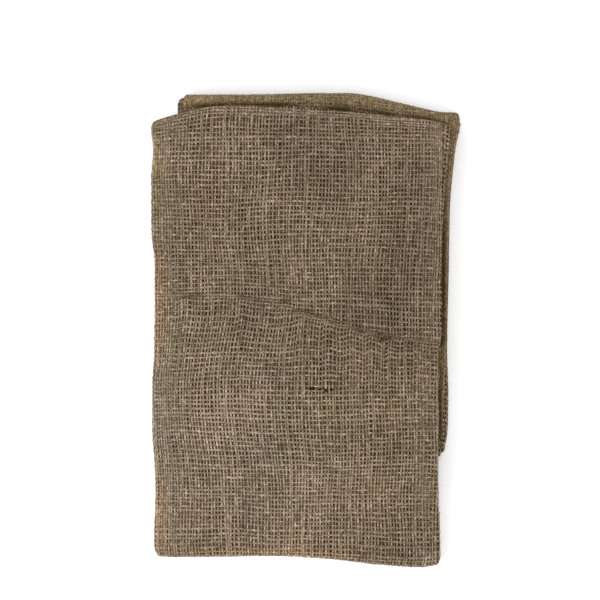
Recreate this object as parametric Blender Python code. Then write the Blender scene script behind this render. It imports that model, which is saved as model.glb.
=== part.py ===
"""Jute sack, folded flat for storing.

The sack is one length of jute cloth: folded across at its closed end and sewn up both sides, which
makes a flat tube of two walls with an open mouth. It lies folded as it is stored. Its width is
folded in three, and its length goes back and forth in four bands, the closed end on top. So the
whole sack is one thin wall, and every layer of it is here, a little apart from the next.

+X is to the right and +Y up the folded sack as one looks down on it, and +Z points up from the
surface that it lies on. The origin is under its middle, on that surface.
"""

import math

import bmesh
import bpy
import numpy as np

MM = 0.001

# Driving sizes, in metres.
WALL = 1.0 * MM                # thickness of the cloth
LAYER_GAP = 0.3 * MM           # air between two layers
BAND_GAP = 0.5 * MM            # air between two bands
LAYERS_IN_BAND = 6             # two walls, folded in three
BANDS = 4

LAYER_PITCH = WALL + LAYER_GAP
BAND_THICK = LAYERS_IN_BAND * WALL + (LAYERS_IN_BAND - 1) * LAYER_GAP
BAND_PITCH = BAND_THICK + BAND_GAP
BEND_REACH = BAND_PITCH / 2 + BAND_THICK / 2       # how far the outside of a lengthwise fold bulges
HEIGHT = BANDS * BAND_PITCH - BAND_GAP

# One cut across a band: the wall runs round through six layers and turns at four edges.
CUT = (     # level of the layer in the band, in layer pitches; the edges where it starts and ends
    (+2.5, "side_a", "fold_a"),
    (-0.5, "fold_a", "fold_b"),
    (-1.5, "fold_b", "side_b"),
    (-2.5, "side_b", "fold_b"),
    (+0.5, "fold_b", "fold_a"),
    (+1.5, "fold_a", "side_a"),
)
EDGE_BULGE = {"side_a": +1, "fold_a": -1, "fold_b": +1, "side_b": -1}     # which way an edge turns out
TURN_STEPS = {"side_a": 2, "fold_a": 3, "fold_b": 3, "side_b": 2}         # steps round an edge's turn
LEFT_EDGES = ("fold_a", "side_b")
RIGHT_EDGES = ("side_a", "fold_b")
COLUMNS = (0.03, 0.20, 0.40, 0.60, 0.80, 0.97)     # places across a band where every layer has points

# Where the four edges run, band by band, at their outermost, in millimetres.
# y: place along the sack. fold_a and side_b are left edges, side_a and fold_b are right edges.
EDGE_COLUMNS = ("y", "fold_a", "side_a", "fold_b", "side_b")
EDGES = {
    1: (
        (147.0, -106.5, 94.5, 100.0, -100.0),
        (141.0, -109.0, 95.5, 101.0, -101.5),
        (126.0, -107.6, 95.5, 99.8, -101.5),
        (105.0, -109.0, 95.3, 97.6, -102.0),
        (66.0, -108.6, 95.0, 95.2, -102.0),
        (45.0, -106.8, 95.0, 94.4, -101.0),
        (-7.0, -106.8, 94.8, 94.0, -101.0),
        (-13.0, -106.8, 93.0, 92.0, -101.0),
        (-39.0, -108.2, 92.4, 91.6, -102.0),
        (-70.0, -108.2, 92.6, 91.8, -102.0),
        (-91.0, -106.8, 92.6, 91.4, -101.0),
        (-112.0, -106.0, 92.8, 91.5, -101.0),
        (-145.0, -107.1, 94.2, 92.6, -101.5),
        (-163.0, -107.1, 94.6, 93.0, -101.5),
    ),
    2: (
        (-163.0, -107.1, 94.6, 93.0, -101.5),
        (-91.0, -103.0, 92.2, 92.4, -98.0),
        (-70.0, -102.0, 93.4, 94.8, -97.0),
        (-15.0, -98.5, 96.3, 97.8, -94.0),
        (66.0, -95.5, 97.7, 99.2, -91.0),
        (97.0, -94.0, 99.2, 100.8, -90.0),
        (125.0, -92.0, 102.7, 104.3, -88.0),
        (150.0, -90.3, 106.7, 108.2, -87.0),
        (166.0, -90.3, 106.9, 108.6, -87.0),
    ),
    3: (
        (166.0, -90.3, 106.9, 108.6, -87.0),
        (150.0, -90.3, 107.2, 108.9, -87.0),
        (141.0, -91.0, 105.9, 107.7, -87.5),
        (129.0, -92.0, 103.4, 105.1, -88.0),
        (108.0, -93.5, 100.6, 102.4, -89.5),
        (87.0, -95.0, 98.9, 100.7, -91.0),
        (45.0, -97.0, 98.0, 99.9, -92.5),
        (-15.0, -99.0, 96.8, 98.7, -94.0),
        (-45.0, -100.5, 97.0, 99.5, -95.5),
        (-70.0, -102.0, 96.6, 99.1, -97.0),
        (-81.0, -102.6, 95.2, 97.4, -97.6),
        (-89.4, -103.0, 94.6, 96.8, -98.0),
    ),
    4: (
        (-89.4, -103.0, 94.6, 96.8, -98.0),
        (20.0, -100.0, 95.5, 97.2, -95.0),
        (135.0, -98.0, 96.5, 98.4, -94.0),
    ),
}

# Lines across the sack, at their outermost, in millimetres: where it is folded or ends.
# Each row gives y at the left edge, at the six columns, and at the right edge.
LINES = {
    "closed_end": (145.8, 150.2, 156.8, 157.0, 154.0, 150.0, 146.3, 142.5),
    "crease": (24.5, 24.2, 22.8, 18.9, 5.5, -4.0, -8.0, -9.0),
    "fold_1": (-159.4, -160.0, -159.7, -159.2, -161.2, -165.2, -167.0, -165.4),
    "fold_2": (165.0, 164.9, 164.9, 165.6, 166.0, 159.0, 152.4, 152.2),
    "fold_3": (-87.2, -89.4, -89.4, -89.4, -89.4, -89.4, -89.4, -89.0),
    "mouth": (135.0, 134.8, 134.4, 133.8, 133.4, 133.2, 132.8, 132.6),
}
STEP_TOP = -85.0 * MM          # past the third fold the two upper bands bend down to the surface
STEP_FOOT = -132.0 * MM
STEP_SINK = 2 * BAND_PITCH
END_TOP = 136.0 * MM           # past the mouth the three upper bands sag a little
END_FOOT = 140.5 * MM
END_SINK = 2.0 * MM
FOLD_TUCK = {                  # how far the left and right ends of a lengthwise fold draw in
    "fold_1": (2.5 * MM, 2.5 * MM),
    "fold_2": (2.0 * MM, 1.2 * MM),
    "fold_3": (1.0 * MM, 1.0 * MM),
}
LEVEL_LINES = {"step_top": STEP_TOP, "step_foot": STEP_FOOT, "end_top": END_TOP, "end_foot": END_FOOT}
CREASE_RISE = 1.7 * MM         # height of the old crease across the top band
CREASE_ABOVE = 7.0 * MM        # how far it runs out upward
CREASE_BELOW = 3.0 * MM        # how far it runs out downward
BESIDE_CREASE = {"above_crease": CREASE_ABOVE, "below_crease": -CREASE_BELOW}

# The way along the sack, from its closed end to its mouth: each band in stretches between two lines.
WAY = (     # band; the lines where the stretch starts and ends; steps in it
    (1, "closed_end", "end_foot", 1),
    (1, "end_foot", "end_top", 2),
    (1, "end_top", "above_crease", 3),
    (1, "above_crease", "crease", 1),
    (1, "crease", "below_crease", 1),
    (1, "below_crease", "step_top", 2),
    (1, "step_top", "step_foot", 4),
    (1, "step_foot", "fold_1", 1),
    (2, "fold_1", "step_foot", 1),
    (2, "step_foot", "step_top", 4),
    (2, "step_top", "end_top", 2),
    (2, "end_top", "end_foot", 2),
    (2, "end_foot", "fold_2", 1),
    (3, "fold_2", "end_foot", 1),
    (3, "end_foot", "end_top", 2),
    (3, "end_top", "fold_3", 2),
    (4, "fold_3", "mouth", 1),
)
FOLD_STEPS = 4                 # round each lengthwise fold

# The cloth is uneven: slow swells, fullest on top and none where it lies on the surface.
SWELLS = (  # rise; length along x and y; phase along x and y
    (0.70 * MM, 0.300, 0.420, 0.4, 1.1),
    (0.40 * MM, 0.210, 0.260, 2.1, 0.3),
)

JUTE_COLOUR = (0.246, 0.174, 0.102, 1.0)
JUTE_ROUGHNESS = 0.95


def clear_scene():
    for old in list(bpy.data.objects):
        bpy.data.objects.remove(old, do_unlink=True)


def smooth_step(amount):
    amount = min(max(amount, 0.0), 1.0)
    return amount * amount * (3.0 - 2.0 * amount)


def edge_x(band, edge, y):
    """Outermost x of an edge of a band."""
    column = EDGE_COLUMNS.index(edge)
    rows = sorted(EDGES[band])
    return float(np.interp(y, [row[0] * MM for row in rows], [row[column] * MM for row in rows]))


def fold_side(line):
    """+1 for the fold at the top of the sack, -1 for those at its bottom."""
    return +1 if line == "fold_2" else -1


def line_ys(line):
    """y of a line at the left edge, the columns and the right edge; the flat cloth ends at it."""
    if line in LEVEL_LINES:
        return np.full(len(COLUMNS) + 2, LEVEL_LINES[line])
    if line in BESIDE_CREASE:
        return line_ys("crease") + BESIDE_CREASE[line]
    outermost = np.array(LINES[line]) * MM
    if line == "closed_end":
        return outermost - turn_reach(LAYER_PITCH / 2)
    if line.startswith("fold_"):
        return outermost - fold_side(line) * BEND_REACH
    return outermost


def turn_reach(radius):
    """How far a turn of the wall stands out from where its two layers end."""
    return radius + WALL / 2


def edge_turns():
    """The turn after each layer of the cut: (edge, middle level, radius with the sign of its way)."""
    turns = []
    for index, (level, _, edge) in enumerate(CUT):
        next_level = CUT[(index + 1) % len(CUT)][0]
        turns.append((edge, (level + next_level) * LAYER_PITCH / 2, (level - next_level) * LAYER_PITCH / 2))
    return turns


def edge_reach(edge):
    """The widest turn at an edge sets how far its flat layers stop short of its outside."""
    return max(turn_reach(abs(radius)) for name, _, radius in edge_turns() if name == edge)


def cut_points():
    """The middle of the wall round one cut: (edge or column, beside it, level, outward x and level)."""
    points = []
    for (level, start, end), (_, middle, radius) in zip(CUT, edge_turns()):
        goes = -EDGE_BULGE[start]
        across = range(len(COLUMNS)) if goes > 0 else reversed(range(len(COLUMNS)))
        for mark in (start, *across, end):
            points.append((mark, 0.0, level * LAYER_PITCH, 0.0, -goes))
        turns_down = math.copysign(1.0, radius)
        outward = -goes * turns_down
        for step in range(1, TURN_STEPS[end]):
            angle = math.pi * step / TURN_STEPS[end]
            to_x = EDGE_BULGE[end] * math.sin(angle)
            to_level = turns_down * math.cos(angle)
            beside = abs(radius) * to_x
            level_there = middle + abs(radius) * to_level
            points.append((end, beside, level_there, outward * to_x, outward * to_level))
    return points


def stations():
    """Places along the sack: (band, y at the edges and columns, fold beside it, angle round that fold)."""
    places = [(1, line_ys("closed_end"), None, None)]
    for band, start, end, steps in WAY:
        for step in range(1, steps + 1):
            between = step / steps
            places.append((band, line_ys(start) * (1 - between) + line_ys(end) * between, None, None))
        if end.startswith("fold_"):
            for step in range(1, FOLD_STEPS):
                places.append((band, line_ys(end), end, math.pi * step / FOLD_STEPS))
            places.append((band + 1, line_ys(end), None, None))
    return places


def station_marks(band, ys):
    """x of each edge and column where a line crosses a band, and the outermost x on both sides."""
    marks = {}
    for edge in LEFT_EDGES + RIGHT_EDGES:
        y = ys[0] if edge in LEFT_EDGES else ys[-1]
        marks[edge] = edge_x(band, edge, y) - EDGE_BULGE[edge] * edge_reach(edge)
    inner_left = max(marks[edge] for edge in LEFT_EDGES)
    inner_right = min(marks[edge] for edge in RIGHT_EDGES)
    for index, fraction in enumerate(COLUMNS):
        marks[index] = inner_left + (inner_right - inner_left) * fraction
    outer_left = min(edge_x(band, edge, ys[0]) for edge in LEFT_EDGES)
    outer_right = max(edge_x(band, edge, ys[-1]) for edge in RIGHT_EDGES)
    return marks, [outer_left, *(marks[index] for index in range(len(COLUMNS))), outer_right]


def band_height(band):
    """Height of the middle of a band that lies flat on those below it."""
    return (BANDS - band) * BAND_PITCH + BAND_THICK / 2


def sink(band, y):
    """How far a band that hangs past those below it has come down at y."""
    depth = 0.0
    if band <= 3:
        depth += END_SINK * smooth_step((y - END_TOP) / (END_FOOT - END_TOP))
    if band <= 2:
        depth += STEP_SINK * smooth_step((STEP_TOP - y) / (STEP_TOP - STEP_FOOT))
    return depth


def swell(x, y, z):
    """How much the unevenness of the cloth lifts a point."""
    lift = 0.0
    for rise, length_x, length_y, phase_x, phase_y in SWELLS:
        wave_x = math.sin(2 * math.pi * x / length_x + phase_x)
        lift += rise * wave_x * math.sin(2 * math.pi * y / length_y + phase_y)
    return lift * (z / HEIGHT) ** 2


def crease(from_crease, z):
    """How much the old crease lifts a point of the top band."""
    run = CREASE_ABOVE if from_crease > 0 else CREASE_BELOW
    into_band = smooth_step((z - (HEIGHT - BAND_THICK)) / BAND_THICK)
    return CREASE_RISE * smooth_step(1.0 - abs(from_crease) / run) * into_band


def tuck(x, columns_x, fold):
    """How far a fold's outermost cloth draws in at x, towards the middle of its width."""
    middle = (columns_x[0] + columns_x[-1]) / 2
    from_middle = (x - middle) / (columns_x[-1] - middle)
    left, right = FOLD_TUCK[fold]
    return -from_middle * (right if from_middle > 0 else left)


def place(point, station, side):
    """Where a point of the cut lies at a station; side is +1 on the outside of the wall, -1 inside."""
    mark, beside, level, out_x, out_level = point
    band, ys, fold, angle = station
    marks, columns_x = station_marks(band, ys)
    x = marks[mark] + beside + side * out_x * WALL / 2
    level += side * out_level * WALL / 2
    y = float(np.interp(x, columns_x, ys))
    faces_up = +1 if band % 2 else -1
    z = band_height(band) + faces_up * level
    if fold:
        radius = BAND_PITCH / 2 + faces_up * level
        y += fold_side(fold) * radius * math.sin(angle)
        z = band_height(band) - BAND_PITCH / 2 + radius * math.cos(angle)
        x += tuck(x, columns_x, fold) * (radius / BEND_REACH) * math.sin(angle) ** 2
    z -= sink(band, y)
    from_crease = y - float(np.interp(x, columns_x, line_ys("crease")))
    return x, y, z + swell(x, y, z) + crease(from_crease, z)


def bridge(mesh, ring_a, ring_b):
    """Faces between two closed rings of vertices."""
    count = len(ring_a)
    for i in range(count):
        j = (i + 1) % count
        mesh.faces.new((ring_a[i], ring_a[j], ring_b[j], ring_b[i]))


def close_end(mesh, ring, side):
    """Joins the two walls along the closed end, with the cloth turned round between them."""
    count = len(ring)
    half = count // 2
    first = count - 1                                  # middle of the turn at side_a
    near = [ring[(first + i) % count] for i in range(half + 1)]
    far = [ring[(first - i) % count] for i in range(half + 1)]
    reach = LAYER_PITCH / 2 + side * WALL / 2          # inside the wall the turn is the tighter one
    middle = [near[0]]
    for i in range(1, half):
        turned = (near[i].co + far[i].co) / 2
        turned.y += reach
        middle.append(mesh.verts.new(turned))
    middle.append(near[half])
    for row in (near, far):
        for i in range(half):
            corners = [row[i], row[i + 1], middle[i + 1], middle[i]]
            mesh.faces.new(list(dict.fromkeys(corners)))


def make_cloth():
    """The whole wall of the sack: its outside, its inside, the closed end and the rim of the mouth."""
    mesh = bmesh.new()
    points = cut_points()
    way = stations()
    last_rings = []
    for side in (+1, -1):
        rings = []
        for station in way:
            rings.append([mesh.verts.new(place(point, station, side)) for point in points])
        for ring_a, ring_b in zip(rings, rings[1:]):
            bridge(mesh, ring_a, ring_b)
        close_end(mesh, rings[0], side)
        last_rings.append(rings[-1])
    bridge(mesh, last_rings[0], last_rings[1])
    bmesh.ops.recalc_face_normals(mesh, faces=mesh.faces)
    return mesh


def jute_material():
    material = bpy.data.materials.new("jute")
    material.use_nodes = True
    shader = material.node_tree.nodes["Principled BSDF"]
    shader.inputs["Base Color"].default_value = JUTE_COLOUR
    shader.inputs["Roughness"].default_value = JUTE_ROUGHNESS
    shader.inputs["Metallic"].default_value = 0.0
    return material


def make_sack():
    cloth = make_cloth()
    shape = bpy.data.meshes.new("sack")
    cloth.to_mesh(shape)
    cloth.free()
    shape.shade_smooth()
    shape.set_sharp_from_angle(angle=math.radians(50))
    shape.materials.append(jute_material())
    sack = bpy.data.objects.new("sack", shape)
    bpy.context.scene.collection.objects.link(sack)
    return sack


clear_scene()
make_sack()
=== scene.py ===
# %% [markdown]
# # A jute sack, folded flat
# The object is a garden sack of coarse jute, folded in three across its width and back and forth
# along its length, as it is sold and stored. It is one piece of cloth, so the work is in two
# things: the way the cloth lies, layer on layer, and the open weave that one sees close up. The
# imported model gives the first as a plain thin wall. Here the same wall is laid again, finer, and
# where it shows from outside its skin is woven from separate yarns with Geometry Nodes.

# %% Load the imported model, which fixes the place and the size of everything
import math

import bmesh
import bpy
import numpy as np
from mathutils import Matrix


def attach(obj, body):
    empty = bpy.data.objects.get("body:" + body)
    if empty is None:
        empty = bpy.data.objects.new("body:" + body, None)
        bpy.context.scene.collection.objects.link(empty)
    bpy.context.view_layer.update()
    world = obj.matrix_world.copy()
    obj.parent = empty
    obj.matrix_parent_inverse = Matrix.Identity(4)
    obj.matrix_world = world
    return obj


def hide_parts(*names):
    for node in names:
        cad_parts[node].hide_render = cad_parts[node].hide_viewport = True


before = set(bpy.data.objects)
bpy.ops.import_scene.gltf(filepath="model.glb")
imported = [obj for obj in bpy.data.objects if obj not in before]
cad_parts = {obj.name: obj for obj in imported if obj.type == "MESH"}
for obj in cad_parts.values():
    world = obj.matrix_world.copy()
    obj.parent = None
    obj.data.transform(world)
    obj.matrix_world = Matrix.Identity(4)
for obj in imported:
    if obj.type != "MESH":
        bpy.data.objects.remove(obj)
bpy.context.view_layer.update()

MM = 0.001
print("nodes:", sorted(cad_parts))

# %% [markdown]
# ## Camera, floor and light
# The sack was looked at from straight above with a long lens, so its sides don't show and its edges
# aren't drawn out by perspective. A camera 10 m up with a narrow angle does the same. The floor is
# almost white, and large soft lights leave only faint shade in the folds. A dome of pale light
# alone would make the weave look flat, so one broad light stands a little to the side.

# %% Camera
TOP_OF_SACK = 0.0315           # height at which the view's width is measured
VIEW_WIDTH = 0.420             # how much of the top of the sack fits across the picture
VIEW_CENTRE = (-0.00455, 0.02065)
CAMERA_RISE = 10.0
SENSOR = 36.0

lens = bpy.data.cameras.new("long_lens")
lens.sensor_width = SENSOR
lens.lens = SENSOR * CAMERA_RISE / VIEW_WIDTH
lens.clip_end = 3 * CAMERA_RISE
camera = bpy.data.objects.new("camera", lens)
camera.location = (*VIEW_CENTRE, TOP_OF_SACK + CAMERA_RISE)
bpy.context.scene.collection.objects.link(camera)
bpy.context.scene.camera = camera
print("lens", round(lens.lens, 1), "mm")

# %% Floor
FLOOR_HALF = 3.0
FLOOR_DROP = 0.4 * MM          # just under the lowest yarns of the underside
FLOOR_WHITE = (0.95, 0.95, 0.95, 1.0)

floor_white = bpy.data.materials.new("floor_white")
floor_white.use_nodes = True
matt = floor_white.node_tree.nodes["Principled BSDF"].inputs
matt["Base Color"].default_value = FLOOR_WHITE
matt["Roughness"].default_value = 1.0
matt["Specular IOR Level"].default_value = 0.0

floor_corners = [(x * FLOOR_HALF, y * FLOOR_HALF, -FLOOR_DROP)
                 for x, y in ((-1, -1), (1, -1), (1, 1), (-1, 1))]
floor_mesh = bpy.data.meshes.new("floor")
floor_mesh.from_pydata(floor_corners, [], [(0, 1, 2, 3)])
floor_mesh.materials.append(floor_white)
floor = bpy.data.objects.new("floor", floor_mesh)
bpy.context.scene.collection.objects.link(floor)
print("floor:", 2 * FLOOR_HALF, "m wide,", round(FLOOR_DROP / MM, 1), "mm under the sack")

# %% Lights
LIGHTS = (  # name; place; size; watts
    ("light_overhead", (0.35, 0.25, 2.2), 1.2, 15.0),
    ("light_side", (-1.05, -1.05, 1.25), 0.6, 29.0),
)
for name, place, size, watts in LIGHTS:
    lamp = bpy.data.lights.new(name, "AREA")
    lamp.shape = "SQUARE"
    lamp.size = size
    lamp.energy = watts
    light = bpy.data.objects.new(name, lamp)
    light.location = place
    away = np.array(place) / np.linalg.norm(place)
    light.rotation_euler = (math.acos(away[2]), 0.0, math.atan2(away[1], away[0]) + math.pi / 2)
    bpy.context.scene.collection.objects.link(light)
    print(name, watts, "W from", place)

# %% Pale light from all round
ROOM_STRENGTH = 1.05
world = bpy.data.worlds.new("pale_room")
world.use_nodes = True
room = world.node_tree.nodes["Background"].inputs
room["Color"].default_value = (1.0, 1.0, 1.0, 1.0)
room["Strength"].default_value = ROOM_STRENGTH
bpy.context.scene.world = world
bpy.context.scene.view_settings.view_transform = "Standard"
print("light from all round:", ROOM_STRENGTH)

# %% [markdown]
# ## Where the cloth goes
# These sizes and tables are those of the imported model. A cut across the sack gives a loop that runs
# round through six layers and turns at four edges. The way along it goes up and down through four
# bands. Every point of the cloth is one place on the loop at one place on the way, so the folded
# sack is a grid, however often it is folded. A simulated fold would look as natural, but wouldn't
# fall where the real one does.

# %% Sizes of the cloth and of a band of layers
WALL = 1.0 * MM                # thickness of the cloth
LAYER_GAP = 0.3 * MM
BAND_GAP = 0.5 * MM
LAYERS_IN_BAND = 6
BANDS = 4
LAYER_PITCH = WALL + LAYER_GAP
BAND_THICK = LAYERS_IN_BAND * WALL + (LAYERS_IN_BAND - 1) * LAYER_GAP
BAND_PITCH = BAND_THICK + BAND_GAP
BEND_REACH = BAND_PITCH / 2 + BAND_THICK / 2
HEIGHT = BANDS * BAND_PITCH - BAND_GAP
print("band:", round(BAND_THICK / MM, 1), "mm thick; sack:", round(HEIGHT / MM, 1), "mm")

# %% The cut across the sack
CUT = (     # level of the layer in the band, in layer pitches; the edges where it starts and ends
    (+2.5, "side_a", "fold_a"),
    (-0.5, "fold_a", "fold_b"),
    (-1.5, "fold_b", "side_b"),
    (-2.5, "side_b", "fold_b"),
    (+0.5, "fold_b", "fold_a"),
    (+1.5, "fold_a", "side_a"),
)
EDGE_BULGE = {"side_a": +1, "fold_a": -1, "fold_b": +1, "side_b": -1}
LEFT_EDGES = ("fold_a", "side_b")
RIGHT_EDGES = ("side_a", "fold_b")
print("layers in the cut:", len(CUT), " turns:", sorted(EDGE_BULGE))

# %% Where the edges of each band are
EDGE_COLUMNS = ("y", "fold_a", "side_a", "fold_b", "side_b")
EDGES = {   # band: rows of y and the outermost x of each edge, in millimetres
    1: ((147.0, -106.5, 94.5, 100.0, -100.0), (141.0, -109.0, 95.5, 101.0, -101.5),
        (126.0, -107.6, 95.5, 99.8, -101.5), (105.0, -109.0, 95.3, 97.6, -102.0),
        (66.0, -108.6, 95.0, 95.2, -102.0), (45.0, -106.8, 95.0, 94.4, -101.0),
        (-7.0, -106.8, 94.8, 94.0, -101.0), (-13.0, -106.8, 93.0, 92.0, -101.0),
        (-39.0, -108.2, 92.4, 91.6, -102.0), (-70.0, -108.2, 92.6, 91.8, -102.0),
        (-91.0, -106.8, 92.6, 91.4, -101.0), (-112.0, -106.0, 92.8, 91.5, -101.0),
        (-145.0, -107.1, 94.2, 92.6, -101.5), (-163.0, -107.1, 94.6, 93.0, -101.5)),
    2: ((-163.0, -107.1, 94.6, 93.0, -101.5), (-91.0, -103.0, 92.2, 92.4, -98.0),
        (-70.0, -102.0, 93.4, 94.8, -97.0), (-15.0, -98.5, 96.3, 97.8, -94.0),
        (66.0, -95.5, 97.7, 99.2, -91.0), (97.0, -94.0, 99.2, 100.8, -90.0),
        (125.0, -92.0, 102.7, 104.3, -88.0), (150.0, -90.3, 106.7, 108.2, -87.0),
        (166.0, -90.3, 106.9, 108.6, -87.0)),
    3: ((166.0, -90.3, 106.9, 108.6, -87.0), (150.0, -90.3, 107.2, 108.9, -87.0),
        (141.0, -91.0, 105.9, 107.7, -87.5), (129.0, -92.0, 103.4, 105.1, -88.0),
        (108.0, -93.5, 100.6, 102.4, -89.5), (87.0, -95.0, 98.9, 100.7, -91.0),
        (45.0, -97.0, 98.0, 99.9, -92.5), (-15.0, -99.0, 96.8, 98.7, -94.0),
        (-45.0, -100.5, 97.0, 99.5, -95.5), (-70.0, -102.0, 96.6, 99.1, -97.0),
        (-81.0, -102.6, 95.2, 97.4, -97.6), (-89.4, -103.0, 94.6, 96.8, -98.0)),
    4: ((-89.4, -103.0, 94.6, 96.8, -98.0), (20.0, -100.0, 95.5, 97.2, -95.0),
        (135.0, -98.0, 96.5, 98.4, -94.0)),
}
print("rows of edges in each band:", {band: len(rows) for band, rows in EDGES.items()})

# %% Lines across the sack
COLUMNS = (0.03, 0.20, 0.40, 0.60, 0.80, 0.97)
LINES = {   # y at the left edge, at the six columns and at the right edge, in millimetres
    "closed_end": (145.8, 150.2, 156.8, 157.0, 154.0, 150.0, 146.3, 142.5),
    "crease": (24.5, 24.2, 22.8, 18.9, 5.5, -4.0, -8.0, -9.0),
    "fold_1": (-159.4, -160.0, -159.7, -159.2, -161.2, -165.2, -167.0, -165.4),
    "fold_2": (165.0, 164.9, 164.9, 165.6, 166.0, 159.0, 152.4, 152.2),
    "fold_3": (-87.2, -89.4, -89.4, -89.4, -89.4, -89.4, -89.4, -89.0),
    "mouth": (135.0, 134.8, 134.4, 133.8, 133.4, 133.2, 132.8, 132.6),
}
STEP_TOP, STEP_FOOT = -85.0 * MM, -132.0 * MM      # the bands come down over the shorter ones
END_TOP, END_FOOT = 136.0 * MM, 140.5 * MM         # they come down a little past the mouth
LEVEL_LINES = {
    "step_top": STEP_TOP, "step_foot": STEP_FOOT, "end_top": END_TOP, "end_foot": END_FOOT,
}
BESIDE_CREASE = {"above_crease": 11.0 * MM, "below_crease": -8.0 * MM}
print("lines across:", len(LINES) + len(LEVEL_LINES) + len(BESIDE_CREASE))

# %% The way along the sack, as stretches from line to line
WAY = (     # band; the lines where the stretch starts and ends
    (1, "closed_end", "end_foot"), (1, "end_foot", "end_top"), (1, "end_top", "above_crease"),
    (1, "above_crease", "crease"), (1, "crease", "below_crease"), (1, "below_crease", "step_top"),
    (1, "step_top", "step_foot"), (1, "step_foot", "fold_1"),
    (2, "fold_1", "step_foot"), (2, "step_foot", "step_top"), (2, "step_top", "end_top"),
    (2, "end_top", "end_foot"), (2, "end_foot", "fold_2"),
    (3, "fold_2", "end_foot"), (3, "end_foot", "end_top"), (3, "end_top", "fold_3"),
    (4, "fold_3", "mouth"),
)
print("stretches:", len(WAY))

# %% [markdown]
# ## Smooth lines through a few measured points
# The tables give the edges and folds at a handful of places. Straight pieces between them would
# show as corners in cloth. A cubic through the points is smooth, but an ordinary one swings out
# beside a sudden change. This one takes its slope from both neighbours and none at a turning point,
# so it stays between the rows of the table.


# %% Smooth steps and smooth lines
TINY = 1e-12                   # stands in for nothing where a number is divided by it


def smooth_step(amount):
    """Rises from 0 to 1 without a corner."""
    amount = np.clip(amount, 0.0, 1.0)
    return amount * amount * (3.0 - 2.0 * amount)


def fade(at, start, over):
    """Rises from 0 to 1 from start on; at is a place in metres, start and over are in mm."""
    return smooth_step((at - start * MM) / (over * MM))


def slopes(gap, rise):
    """The slope at each row of a table: none at a turning point or on a level stretch."""
    before = 2 * gap[1:] + gap[:-1]
    after = gap[1:] + 2 * gap[:-1]
    one_way = rise[:-1] * rise[1:] > 0
    safe = np.where(np.abs(rise) > TINY, rise, TINY)
    between = np.where(one_way, (before + after) / (before / safe[:-1] + after / safe[1:]), 0.0)
    return np.concatenate(([rise[0]], between, [rise[-1]]))


def smooth_through(at, knots, values):
    """A smooth line through a table's rows that never swings past them."""
    knots = np.asarray(knots, float)
    values = np.asarray(values, float)
    at = np.clip(at, knots[0], knots[-1])
    gap = np.diff(knots)
    lean = slopes(gap, np.diff(values) / gap)
    low = np.clip(np.searchsorted(knots, at, side="right") - 1, 0, len(gap) - 1)
    t = (at - knots[low]) / gap[low]
    pull = gap[low] * t * (1 - t)
    return (values[low] * (1 + 2 * t) * (1 - t) ** 2 + values[low + 1] * t * t * (3 - 2 * t)
            + pull * (lean[low] * (1 - t) - lean[low + 1] * t))


print("through 0, 1, 1:", smooth_through(np.linspace(0, 2, 5), (0, 1, 2), (0, 1, 1)).round(2))


# %% Where the edges run
def edge_x(band, edge, y):
    """Outermost x of an edge of a band."""
    rows = sorted(EDGES[band])
    column = EDGE_COLUMNS.index(edge)
    return float(smooth_through(y, [r[0] * MM for r in rows], [r[column] * MM for r in rows]))


print("left edge at the crease:", round(edge_x(1, "fold_a", 0.02) / MM, 1), "mm")


# %% Where the lines run
def fold_side(line):
    """+1 for the fold at the top of the sack, -1 for those at its foot."""
    return +1 if line == "fold_2" else -1


def line_ys(line):
    """y of a line at the left edge, the columns and the right edge; the flat cloth ends at it."""
    if line in LEVEL_LINES:
        return np.full(len(COLUMNS) + 2, LEVEL_LINES[line])
    if line in BESIDE_CREASE:
        return line_ys("crease") + BESIDE_CREASE[line]
    outermost = np.array(LINES[line]) * MM
    if line == "closed_end":
        return outermost - (LAYER_PITCH + WALL) / 2
    if line.startswith("fold_"):
        return outermost - fold_side(line) * BEND_REACH
    return outermost


print("flat cloth ends at the foot:", (line_ys("fold_1") / MM).round(1))

# %% [markdown]
# ## The loop and the way
# The loop is a list of points with a mark for where it is: 0 to 1 on the first layer, 1 to 2 on the
# turn after it, 2 to 3 on the second layer, and so on to 12. The same kind of mark is useful later,
# to say which stretch of cloth faces outwards. The way is a list of lines across the sack, closer
# together where the cloth bends.


# %% The turns of the loop
def edge_turns():
    """After each layer of the cut: the turn's edge, middle level, and radius, signed by its way."""
    turns = []
    for index, (level, _, edge) in enumerate(CUT):
        next_level = CUT[(index + 1) % len(CUT)][0]
        turns.append((edge, (level + next_level) * LAYER_PITCH / 2,
                      (level - next_level) * LAYER_PITCH / 2))
    return turns


EDGE_REACH = {}                # how far the widest turn at an edge reaches from its middle
for name, _, radius in edge_turns():
    EDGE_REACH[name] = max(EDGE_REACH.get(name, 0.0), abs(radius) + WALL / 2)
print("reach of the turns in mm:", {name: round(r / MM, 2) for name, r in EDGE_REACH.items()})


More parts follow.
